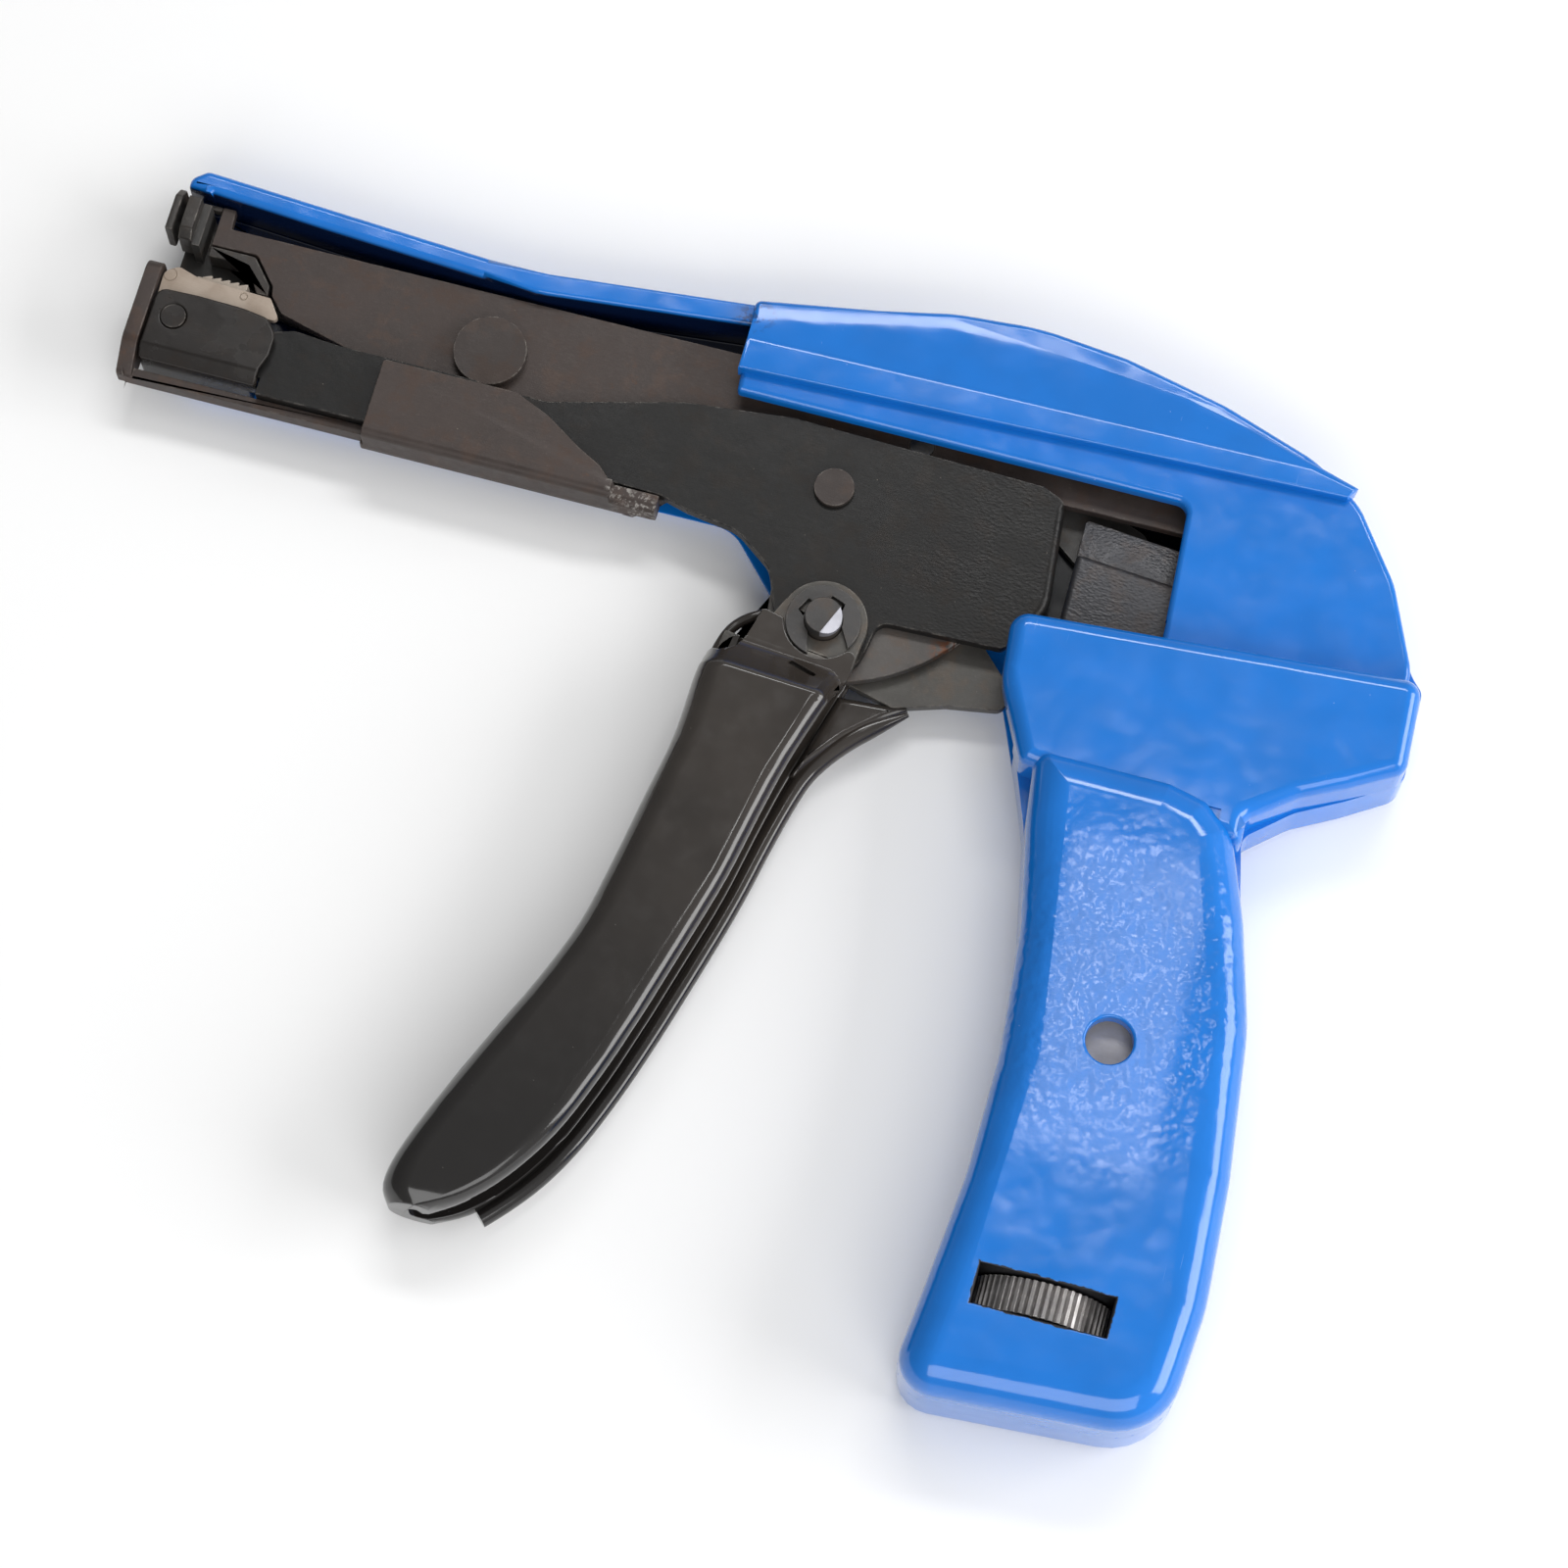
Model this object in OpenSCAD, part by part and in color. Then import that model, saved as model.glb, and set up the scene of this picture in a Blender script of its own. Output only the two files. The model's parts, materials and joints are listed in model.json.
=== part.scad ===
// Hand tool that pulls a cable tie tight and cuts its tail.
// The tool lies on its far side: X runs from the nose to the heel, Y towards the crown of
// the body, Z up through the thickness. Outline tables are in shares of the tool length,
// as [x, y, corner radius].

/* [Overall] */
// Overall length from the nose plate to the heel of the body
tool_len = 165.7; // [150:0.1:185]
// Thickness of the grip
grip_t = 17; // [15.5:0.5:20]
// Height of the collar above the resting face
collar_t = 15; // [13.5:0.5:17]
// Height of the raised band on the hood
band_t = 11.7; // [11:0.1:13]
// Height of the hood's flat flange
hood_t = 10.2; // [9.9:0.1:10.8]
// Thickness of the far shell's floor
floor_t = 1.6; // [1.4:0.1:1.8]
// Width of the rim round the far shell
rim_w = 2.8; // [2.4:0.1:3.2]
// Wall between the grip's face and the spring cavity
grip_wall = 2; // [1.6:0.1:2.4]

/* [Plates] */
// Thickness of the cutter arm
cutter_t = 1.2; // [1:0.1:1.3]
// Thickness of the trigger's steel channel and of the tension link
arm_t = 1.4; // [1.2:0.1:1.5]
// Thickness of the barrel frame plate
frame_t = 1.4; // [1.2:0.1:1.5]
// Thickness of the pull rod's rear plate
rod_t = 1.5; // [1.3:0.1:1.6]
// Clearance between neighbouring moving plates
gap = 0.2; // [0.15:0.01:0.24]
// Thickness of the vinyl coat on the trigger
vinyl_t = 0.6; // [0.5:0.05:0.7]

/* [Pivots] */
// Diameter of the trigger pin
pin_d = 4.6; // [4.2:0.1:5]
// Diameter of the head of the cutter pivot rivet
pivot_head_d = 9.2; // [8.4:0.1:10]
// Diameter of the shank of the cutter pivot rivet
pivot_d = 5; // [4.5:0.1:5.4]
// Diameter of the head of the pull rod's rivet
rod_rivet_d = 5; // [4.6:0.1:5.6]
// Diameter of the pawl pin
pawl_pin_d = 3.1; // [2.8:0.1:3.3]
// Diameter of the fulcrum pin
fulcrum_d = 4; // [3.6:0.1:4.3]
// Diameter of the link pin
link_pin_d = 3; // [2.7:0.1:3.2]
// Radial clearance of a running fit
run = 0.05; // [0.03:0.01:0.08]

/* [Trigger] */
// Height of the trigger's near flange above the resting face
flange_near = 14; // [13.4:0.1:14.6]
// Height of the trigger's far flange above the resting face
flange_far = 1.5; // [1.3:0.1:1.8]
// Radius of the round steel ear
ear_r = 5.4; // [5:0.1:5.8]
// Radius of the channel's outer corners
channel_r = 4; // [3.2:0.1:4.6]

/* [Nose] */
// Thickness of the lower nose plate
nose_t = 2; // [1.7:0.1:2.1]
// Thickness of the cutter blade
blade_t = 1.7; // [1.4:0.1:2]
// Number of teeth on the pawl
tooth_count = 5; // [4:1:6]
// Pitch of the teeth
tooth_pitch = 1.15; // [0.9:0.05:1.25]
// Height of a tooth
tooth_h = 0.8; // [0.6:0.05:0.9]

/* [Tension setting] */
// Diameter of the knurled wheel
wheel_d = 16.4; // [15:0.1:16.6]
// Thickness of the knurled wheel
wheel_t = 4.1; // [3.6:0.1:4.3]
// Number of ridges round the wheel
ridge_count = 56; // [44:1:64]
// Width of the wheel window
window_w = 15.9; // [14:0.1:17]
// Height of the wheel window
window_h = 4.7; // [4.6:0.1:5.4]
// Diameter of the sight hole in the grip
sight_d = 5.6; // [4.6:0.1:6.4]
// Diameter of the tension screw
screw_d = 5; // [4.4:0.1:5.4]
// Outer diameter of the tension spring
coil_d = 10; // [9.4:0.1:10.2]
// Wire diameter of the tension spring
coil_wire = 1.3; // [1.1:0.1:1.4]
// Turns of the tension spring
coil_turns = 11; // [9:1:13]

/* [Hidden] */
span_shares = 992;
shift_share = [4, 0];
mil = tool_len / span_shares;
over = 0.5;
lap = 0.3;
fine = 48;
half_turn = 180;
split_z = grip_t / 2;

function x_at(v) = (v + shift_share[0]) * mil;
function y_at(v) = (v + shift_share[1]) * mil;
function spot(p) = [x_at(p[0]), y_at(p[1])];
function at(table) = [for (p = table) [x_at(p[0]), y_at(p[1]), p[2] * mil]];
function spots(table) = [for (p = table) spot(p)];
function unit(v) = v / norm(v);
function left_of(v) = [-v[1], v[0]];
function turn_of(a, b, c) =
    let (u = b - a, v = c - b) u[0] * v[1] - u[1] * v[0];

// Corner moved inwards by d, with its radius changed to keep the wall parallel
function inner_corner(t, i, d) =
    let (n = len(t),
         a = [t[(i + n - 1) % n][0], t[(i + n - 1) % n][1]],
         b = [t[i][0], t[i][1]],
         c = [t[(i + 1) % n][0], t[(i + 1) % n][1]],
         p = left_of(unit(b - a)),
         q = left_of(unit(c - b)),
         m = unit(p + q),
         s = b + m * d / (m * p),
         r = t[i][2] + (turn_of(a, b, c) > 0 ? -d : d))
    [s[0], s[1], max(r, over / 10)];

function inset(t, d) = [for (i = [0 : len(t) - 1]) inner_corner(t, i, d)];

// Arc of steps + 1 points that rounds one corner
function corner_arc(t, i, steps) =
    let (n = len(t),
         a = [t[(i + n - 1) % n][0], t[(i + n - 1) % n][1]],
         b = [t[i][0], t[i][1]],
         c = [t[(i + 1) % n][0], t[(i + 1) % n][1]],
         u = unit(a - b),
         v = unit(c - b),
         half = acos(u * v) / 2,
         reach = min(norm(a - b), norm(c - b)) * 0.48,
         r = min(t[i][2], reach * tan(half)),
         m = b + unit(u + v) * r / sin(half),
         p = b + u * r / tan(half) - m,
         q = b + v * r / tan(half) - m,
         s = atan2(p[1], p[0]),
         e = atan2(q[1], q[0]),
         w = (e - s) > half_turn ? e - s - 2 * half_turn
             : (e - s) < -half_turn ? e - s + 2 * half_turn : e - s)
    [for (k = [0 : steps]) m + r * [cos(s + w * k / steps), sin(s + w * k / steps)]];

function rounded(t, steps = 5) =
    [for (i = [0 : len(t) - 1]) for (p = corner_arc(t, i, steps)) p];

module plate(table, z, t, steps = 5) {
    translate([0, 0, z])
        linear_extrude(t)
            polygon(rounded(at(table), steps));
}

// Side faces between ring k and ring l of n points each
function side_faces(n, k, l) = concat(
    [for (i = [0 : n - 1]) [k * n + i, l * n + i, k * n + (i + 1) % n]],
    [for (i = [0 : n - 1]) [k * n + (i + 1) % n, l * n + i, l * n + (i + 1) % n]]);

// Skin over rings of equal count, each anticlockwise as seen from the last ring
module skin(rings) {
    n = len(rings[0]);
    m = len(rings);
    polyhedron(
        points = [for (r = rings) for (p = r) p],
        faces = concat(
            [[for (i = [0 : n - 1]) i]],
            [for (k = [0 : m - 2]) each side_faces(n, k, k + 1)],
            [[for (i = [0 : n - 1]) m * n - 1 - i]]
        ),
        convexity = 8
    );
}

function ring(t, inward, z, steps) = [for (p = rounded(inset(t, inward), steps)) [p[0], p[1], z]];

// Slab with a rounded lower edge of radius low and a rounded upper edge of radius high:
// a closed band of rings round a plain core
module soft_slab(table, z0, z1, low, high, steps = 4, cuts = 4) {
    t = at(table);
    deep = max(low, high) + lap;
    profile = concat(
        low > 0
            ? [for (k = [0 : cuts - 1]) let (a = 90 * k / cuts)
                [low * (1 - sin(a)), z0 + low * (1 - cos(a))]]
            : [],
        [[0, z0 + low], [0, z1 - high]],
        high > 0
            ? [for (k = [1 : cuts]) let (a = 90 * k / cuts)
                [high * (1 - cos(a)), z1 - high * (1 - sin(a))]]
            : [],
        [[deep, z1], [deep, z0]]
    );
    rings = [for (p = profile) ring(t, p[0], p[1], steps)];
    n = len(rings[0]);
    m = len(rings);
    union() {
        polyhedron(
            points = [for (r = rings) for (p = r) p],
            faces = [for (k = [0 : m - 1]) each side_faces(n, k, (k + 1) % m)],
            convexity = 8
        );
        translate([0, 0, z0])
            linear_extrude(z1 - z0)
                polygon([for (p = ring(t, deep - lap / 2, 0, steps)) [p[0], p[1]]]);
    }
}

module post(p, z0, z1, d) {
    translate([p[0], p[1], z0])
        cylinder(h = z1 - z0, d = d, $fn = fine);
}

module along_y(x, y0, y1, z, d) {
    translate([x, y0, z])
        rotate([-90, 0, 0])
            cylinder(h = y1 - y0, d = d, $fn = fine);
}

// Box between two corner points
module box(a, b) {
    translate(a)
        cube(b - a);
}

// Tube along Z that winds round it
module coil(r, wire, turns, length, sides = 6, per_turn = 8) {
    skin([for (k = [0 : turns * per_turn])
        let (a = 360 * k / per_turn, h = length * k / (turns * per_turn))
        [for (j = [0 : sides - 1]) let (b = -360 * j / sides)
            [(r + wire / 2 * cos(b)) * cos(a), (r + wire / 2 * cos(b)) * sin(a),
             h + wire / 2 * sin(b)]]]);
}

cutter_z = floor_t + gap;
cutter_top = cutter_z + cutter_t;
arm_z = cutter_top + gap;
arm_top = arm_z + arm_t;
frame_z = arm_top + gap;
frame_top = frame_z + frame_t;
rod_z = frame_top + gap;
rod_top = rod_z + rod_t;
ear_z = rod_top + gap;
ear_top = ear_z + arm_t;
clip_t = 0.6;
clip_z = ear_top + gap / 2;
pin_tail = 2;
pin_top = clip_z + clip_t + pin_tail;
wrap_rise = 2.6;
wrap_z = frame_top + wrap_rise;
wrap_top = wrap_z + frame_t;

trigger_p = spot([58, 134]);
rod_rivet_p = spot([38, 240]);
pivot_p = spot([-237, 281]);
fulcrum_p = spot([91, 294]);
pawl_share = [-468, 240];
pawl_p = spot(pawl_share);
link_pin_p = spot([246, 258]);
nose_share = -500;
nose_x = x_at(nose_share);
screw_x = x_at(333);
wheel_y = y_at(-317);
sight_y = y_at(-128);
window_low_y = wheel_y - window_h / 2;
window_top_y = wheel_y + window_h / 2;

crown_shares = [
    [478, 207, 40], [451, 270, 60], [413, 323, 50], [374, 349, 80], [301, 374, 150],
    [222, 392, 150], [153, 399, 200], [90, 394, 150], [36, 382, 150]
];
barrel_crown_shares = [[-55, 366, 60], [-212, 350, 60], [-258, 351, 60], [-375, 358, 80]];
body_shares = concat(
    [[-444, 200, 12], [-30, 203, 30], [20, 150, 20], [60, 121, 30], [200, 120, 5], [476, 120, 10]],
    crown_shares,
    barrel_crown_shares,
    [[-490, 366, 8], [-480, 215, 10]]
);
far_shell_shares = concat(
    [[-444, 200, 12], [-30, 203, 30], [20, 150, 20], [60, 121, 30], [197, 120, 6], [222, 60, 14],
     [237, 20, 80], [253, -60, 200], [261, -150, 200], [260, -240, 200], [251, -330, 150],
     [243, -399, 26], [435, -386, 48], [443, -290, 150], [438, -200, 200], [425, -90, 200],
     [404, -15, 100], [388, 55, 12], [420, 83, 40],
    [453, 101, 60], [491, 125, 14], [489, 196, 10]],
    crown_shares,
    barrel_crown_shares,
    [[-481, 365, 8], [-492, 356, 8], [-480, 215, 10]]
);
collar_shares = [
    [222, 60, 8], [380, 44, 8], [388, 60, 10], [420, 85, 40], [453, 102, 60], [490, 123, 13],
    [487, 193, 13], [189, 170, 14], [194, 118, 60]
];
grip_shares = [
    [243, -399, 26], [435, -386, 48], [443, -290, 150], [438, -200, 200], [425, -90, 200],
    [404, -15, 100], [381, 47, 20], [360, 66, 24], [330, 73, 12], [230, 73, 12], [237, 20, 80],
    [253, -60, 200], [261, -150, 200], [260, -240, 200], [251, -330, 150]
];
hood_shares = concat(
    [[-50, 292, 3], [292, 291, 9], [300, 150, 4], [476, 150, 4]],
    crown_shares,
    [[-56, 366, 6]]
);
band_shares = [
    [-51, 305, 3], [403, 323, 12], [411, 333, 10], [376, 345, 60], [301, 370, 150],
    [222, 388, 150], [153, 395, 200], [90, 390, 150], [36, 378, 150], [-55, 362, 4]
];
edge_far = 2;
edge_hood = 0.8;
edge_band = 0.7;
edge_collar = 2;
edge_grip = 4.4;

screw_spots = spots([[20, 357], [345, 333], [455, 160], [282, -358], [402, -350]]);
frame_spots = spots([[-282, 224], [-122, 226], [305, 315]]);
boss_d = 5.6;
frame_boss_d = 4.6;
screw_hole_d = 2.4;
thread_d = 2;
screw_head_d = 4.4;
screw_head_t = 1.4;
head_play = 0.1;
sunk = 0.2;
roof_t = 0.6;

spring_top_y = y_at(60);
cavity_low_y = window_top_y + grip_wall;
cavity_play = 1;
cavity_w = coil_d + 2 * cavity_play;
link_room_y = y_at(152);
bush_d = 8;
bush_l = 3;
bush_low_y = window_low_y - bush_l;

// Room for spring, nut, wheel, screw and bushes, shared by both halves
module grip_cavity() {
    box([screw_x - cavity_w / 2, cavity_low_y, grip_wall],
        [screw_x + cavity_w / 2, spring_top_y + over, grip_t - grip_wall]);
    box([screw_x - window_w / 2, window_low_y, -over],
        [screw_x + window_w / 2, window_top_y, grip_t + over]);
    along_y(screw_x, window_low_y, window_top_y, split_z, wheel_d + 2 * over);
    along_y(screw_x, bush_low_y, cavity_low_y + over, split_z, bush_d);
}

open_front_shares = [
    [-520, 60], [205, 60], [205, 76], [298, 76], [298, 300], [205, 300], [-400, 331],
    [-448, 335], [-452, 346], [-520, 350]
];
heel_block_shares = [[420, 60], [520, 60], [520, 215], [420, 215]];
pocket_shares = [[160, 76], [298, 76], [298, 200], [160, 200]];

// Mechanism room in the far half, open to the front and below
module far_room() {
    room = inset(at(body_shares), rim_w);
    translate([0, 0, floor_t])
        linear_extrude(split_z)
            difference() {
                union() {
                    polygon(rounded(room, 5));
                    polygon(spots(open_front_shares));
                }
                polygon(spots(heel_block_shares));
            }
    box([screw_x - cavity_w / 2, 0, floor_t],
        [screw_x + cavity_w / 2, link_room_y, split_z + over]);
}

module screw_cut(p) {
    post(p, -over, screw_head_t, screw_head_d);
    post(p, -over, split_z + over, screw_hole_d);
}

module right_housing() {
    color("#1765c8")
    difference() {
        union() {
            difference() {
                soft_slab(far_shell_shares, 0, split_z, edge_far, 0, 3, 3);
                far_room();
            }
            for (k = [0, 1]) post(screw_spots[k], floor_t / 2, split_z - gap, boss_d);
            for (p = frame_spots) post(p, floor_t / 2, frame_z, frame_boss_d);
            post(pivot_p, floor_t / 2, cutter_z, pivot_head_d);
        }
        grip_cavity();
        for (p = screw_spots) screw_cut(p);
        for (p = frame_spots) screw_cut(p);
        post(pivot_p, -over, frame_z, pivot_d);
        post(pivot_p, -over, screw_head_t, pivot_foot_d + 2 * head_play);
    }
}

pocket_roof = 4;
plug_roof_play = 0.4;

module left_housing() {
    color("#1765c8")
    difference() {
        union() {
            soft_slab(hood_shares, split_z, hood_t, 0, edge_hood, 3, 2);
            soft_slab(band_shares, split_z, band_t, 0, edge_band, 3, 3);
            soft_slab(collar_shares, split_z, collar_t, 0, edge_collar, 4, 3);
            soft_slab(grip_shares, split_z, grip_t, 0, edge_grip, 3, 4);
        }
        grip_cavity();
        translate([0, 0, -over])
            linear_extrude(collar_t - pocket_roof + over)
                polygon(spots(pocket_shares));
        box([screw_x - cavity_w / 2, 0, 0],
            [screw_x + cavity_w / 2, link_room_y, split_z + plug_d / 2 + plug_roof_play]);
        post([screw_x, sight_y], split_z, grip_t + over, sight_d);
        for (p = screw_spots) post(p, split_z - over, hood_t - roof_t, thread_d);
    }
}

module screw_at(p, tip) {
    post(p, sunk, screw_head_t, screw_head_d - 2 * head_play);
    post(p, sunk, tip, thread_d);
}

module housing_screws() {
    color("#8d9095")
    for (p = screw_spots) screw_at(p, hood_t - roof_t - sunk);
}

module frame_screws() {
    color("#8d9095")
    for (p = frame_spots) screw_at(p, frame_top - sunk);
}

frame_plate_shares = [
    [-464, 344, 1], [-464, 312.5, 1], [-428, 313, 6], [-410, 292, 4], [-408, 284, 2],
    [-397, 272, 2], [-343, 258, 4], [-311, 255, 2], [-311, 187, 2], [-100, 187, 4],
    [-80, 205, 4], [-62, 230, 4], [-62, 274, 6], [312, 276, 3], [318, 290, 3], [318, 330, 3],
    [-52, 330, 3], [-453, 328.5, 1], [-454, 344, 1]
];
wrap_face_shares = [
    [-308, 197, 1], [-119, 197, 1], [-122, 199, 2], [-131, 208, 8], [-150, 218, 8],
    [-178, 236, 16], [-206, 248, 10], [-308, 248, 3]
];
wall_t = 1.3;
flange_rise = 1;
nose_corner = [0.5, 0.8, 1.6, 2.4, 1];

fold_low_share = 186.5;
wrap_end_share = -84;
fold_round = [1.2, 0.1, 0.1, 2.1];

module folded_floor(from_share, to_share, top) {
    low = y_at(fold_low_share);
    high = y_at(192) + wall_t;
    translate([x_at(from_share), 0, 0])
        rotate([90, 0, 90])
            linear_extrude((to_share - from_share) * mil)
                polygon(rounded([
                    [low, frame_z, fold_round[0]],
                    [high, frame_z, fold_round[1]],
                    [high, top, fold_round[2]],
                    [low, top, fold_round[3]]
                ], 6));
}

module barrel_frame() {
    color("#3a3531")
    difference() {
        union() {
            plate(frame_plate_shares, frame_z, frame_t);
            plate(wrap_face_shares, wrap_z, frame_t);
            // Folded floor of the guide that the pull rod slides in
            folded_floor(wrap_face_shares[0][0], wrap_face_shares[1][0], wrap_top);
            folded_floor(wrap_face_shares[1][0] - 1, wrap_end_share, wrap_z - gap);
            // Lower flange along the barrel to the nose
            box([nose_x + nose_t / 2, y_at(192), frame_z],
                [x_at(-305), y_at(192) + wall_t, frame_top + flange_rise]);
            // Lower nose plate that the tie's head rests on
            translate([nose_x, 0, 0])
                rotate([90, 0, 90])
                    linear_extrude(nose_t)
                        polygon(rounded([
                            [y_at(192), frame_z, nose_corner[0]],
                            [y_at(282), frame_z, nose_corner[1]],
                            [y_at(282), wrap_top, nose_corner[2]],
                            [y_at(215), wrap_top, nose_corner[3]],
                            [y_at(192), frame_top + frame_t, nose_corner[4]]
                        ]));
        }
        post(pivot_p, frame_z - over, frame_top + over, pivot_d);
        post(fulcrum_p, frame_z - over, frame_top + over, fulcrum_d - 1);
        for (p = frame_spots) post(p, frame_z - over, frame_top + over, thread_d);
    }
}

block_x = nose_x + 0.6;
block_t = 1;
block_bevel = 1.4;
block_top = wrap_top - gap;

module nose_block() {
    color("#403b37")
    union() {
        translate([block_x, 0, 0])
            rotate([90, 0, 90])
                linear_extrude(block_t)
                    polygon([
                        [y_at(307), frame_z],
                        [y_at(344), frame_z],
                        [y_at(344), block_top - block_bevel],
                        [y_at(344) - block_bevel, block_top],
                        [y_at(307), block_top]
                    ]);
        box([block_x, y_at(340), frame_z], [x_at(-464), y_at(344), frame_top]);
    }
}

anvil_shares = [
    [-464, 311.5, 1], [-464, 303, 2], [-432, 303, 3], [-420, 283, 2], [-411, 283, 1],
    [-412, 291.5, 2], [-429, 311.5, 4]
];

module anvil_plate() {
    color("#2f2c2a")
    plate(anvil_shares, arm_z, frame_top - arm_z, 3);
}

pivot_foot_d = pivot_head_d - 2.4;
pivot_foot_z = 0.3;
pivot_dome_t = 1.4;

module cutter_pivot() {
    color("#383431")
    union() {
        post(pivot_p, pivot_foot_z, screw_head_t - head_play, pivot_foot_d);
        post(pivot_p, pivot_foot_z, frame_top + over, pivot_d - 2 * run);
        post(pivot_p, frame_top, frame_top + pivot_dome_t, pivot_head_d);
    }
}

cutter_arm_shares = [
    [-486, 290, 2], [-470, 286, 6], [-300, 262, 30], [-237, 252, 26], [-180, 268, 30],
    [-100, 276, 30], [180, 272, 20], [222, 240, 8], [270, 240, 8], [270, 274, 10],
    [200, 300, 30], [-100, 304, 30], [-190, 306, 30], [-237, 318, 30], [-300, 312, 40],
    [-476, 338, 4], [-486, 338, 2]
];
blade_play = 0.75;
blade_x = block_x + block_t + blade_play;
flange_x = blade_x + blade_t;
flange_t = 1;
slot_play = 0.6;

module cutter_arm() {
    color("#4a4744")
    difference() {
        union() {
            plate(cutter_arm_shares, cutter_z, cutter_t);
            // Upright flange that carries the blade
            box([flange_x, y_at(304), cutter_z],
                [flange_x + flange_t, y_at(338), wrap_top - pin_tail]);
        }
        post(pivot_p, cutter_z - over, cutter_top + over, pivot_d);
        // Slot that lets the link pin rise straight up
        for (s = [-1, 1])
            post(link_pin_p + [slot_play * s, 0], cutter_z - over, cutter_top + over,
                 link_pin_d + 2 * run);
        box([link_pin_p[0] - slot_play, link_pin_p[1] - link_pin_d / 2 - run, cutter_z - over],
            [link_pin_p[0] + slot_play, link_pin_p[1] + link_pin_d / 2 + run, cutter_top + over]);
    }
}

blade_edge = 1.1;
blade_top = wrap_top - gap;

module cutter_blade() {
    color("#77736e")
    translate([blade_x, 0, 0])
        rotate([90, 0, 90])
            linear_extrude(blade_t)
                polygon([
                    [y_at(305), arm_top],
                    [y_at(305), blade_top - blade_edge],
                    [y_at(305) + blade_edge, blade_top],
                    [y_at(338), blade_top],
                    [y_at(338), arm_top]
                ]);
}

module fulcrum_pin() {
    color("#8a8783")
    union() {
        post(fulcrum_p, arm_z, frame_z, fulcrum_d);
        post(fulcrum_p, arm_z, frame_top, fulcrum_d - 1);
    }
}

spring_p = spot([105, 347]);
anchor_p = spot([276, 347]);
anchor_d = 2.4;
return_r = 1.7;
return_wire = 0.6;
return_turns = 12.25;
eye_r = 1.6;
return_z = arm_z + arm_t / 2;
spring_hole_d = 1.4;

module spring_post() {
    color("#8a8783")
    post(anchor_p, floor_t, frame_z, anchor_d);
}

module eye(r, wire) {
    rotate_extrude($fn = 24)
        translate([r, 0])
            circle(d = wire, $fn = 8);
}

module leg(wire, length) {
    rotate([0, 90, 0])
        cylinder(h = length, d = wire, $fn = 8);
}

module return_spring() {
    color("#9a9c9f")
    translate([spring_p[0], spring_p[1], return_z])
        union() {
            reach = anchor_p[0] - spring_p[0] - eye_r;
            translate([2 * eye_r, 0, 0])
                rotate([0, 90, 0])
                    coil(return_r, return_wire, return_turns, reach - 3 * eye_r, 6);
            translate([eye_r, 0, 0])
                rotate([90, 0, 0])
                    eye(eye_r, return_wire);
            translate([eye_r, 0, -return_r])
                leg(return_wire, eye_r + over);
            translate([reach - eye_r - lap, return_r, 0])
                leg(return_wire, 2 * eye_r + lap);
            translate([reach + eye_r, 0, 0])
                eye(eye_r, return_wire);
        }
}

rod_plate_shares = [
    [-242, 205, 3], [-84, 202, 6], [-62, 196, 16], [-22, 190, 30], [8, 168, 20],
    [19, 140, 10], [28, 98, 34], [88, 98, 34], [96, 148, 10], [188, 151, 6], [213, 190, 30],
    [205, 274, 12], [186, 282, 10], [-5, 287, 60], [-86, 278, 60], [-184, 252, 20],
    [-242, 252, 3]
];
rod_rivet_hole_d = rod_rivet_d - 1.6;
channel_web_t = 1.2;
channel_top = wrap_z - gap;
channel_shares = [
    [-430, 213, 2], [-394, 213, 1], [-394, 200, 1], [-238, 200, 1], [-238, 253, 1],
    [-345, 253, 6], [-380, 256, 8], [-398, 250, 4], [-430, 246, 2]
];

module pull_rod() {
    color("#24211f")
    difference() {
        union() {
            plate(rod_plate_shares, rod_z, rod_t);
            difference() {
                plate(channel_shares, rod_z, channel_top - rod_z);
                box([x_at(-400), y_at(209), rod_z - over],
                    [x_at(-250), y_at(245), channel_top - channel_web_t]);
            }
        }
        post(trigger_p, rod_z - over, channel_top + over, pin_d + 2 * run);
        post(rod_rivet_p, rod_z - over, channel_top + over, rod_rivet_hole_d);
    }
}

carriage_wall = 0.8;
fold_drop = 1.3;
fold_in = 1.5;
carriage_z = arm_z + gap;
carriage_top = wrap_top;
carriage_floor_y = y_at(205) + wall_t;
near_cheek_shares = [
    [-486, 205, 3], [-395, 205, 3], [-395, 217, 4], [-391, 229, 8], [-391, 246, 10],
    [-400, 257, 10], [-420, 260, 20], [-455, 261, 12], [-486, 260, 8]
];
far_cheek_shares = [
    [-486, 205, 3], [-400, 205, 3], [-400, 238, 6], [-425, 248, 12], [-445, 260, 12],
    [-486, 262, 8]
];

module carriage() {
    color("#2a2726")
    difference() {
        union() {
            plate(near_cheek_shares, rod_z, carriage_top - rod_z);
            plate(far_cheek_shares, carriage_z, rod_z + over - carriage_z);
        }
        box([nose_x, carriage_floor_y, carriage_z + carriage_wall],
            [x_at(-320), y_at(295), carriage_top - carriage_wall]);
        post(pawl_p, carriage_z - over, carriage_top + over, pawl_pin_d);
        // Sloped lower fold
        translate([nose_x, y_at(205), carriage_top])
            rotate([90, 0, 90])
                linear_extrude(nose_x + tool_len)
                    polygon([[-over, -fold_drop], [0, -fold_drop], [fold_in, 0], [fold_in, over],
                             [-over, over]]);
    }
}

module pawl_pin() {
    color("#35312f")
    post(pawl_p, carriage_z, carriage_top + head_play, pawl_pin_d);
}

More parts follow.
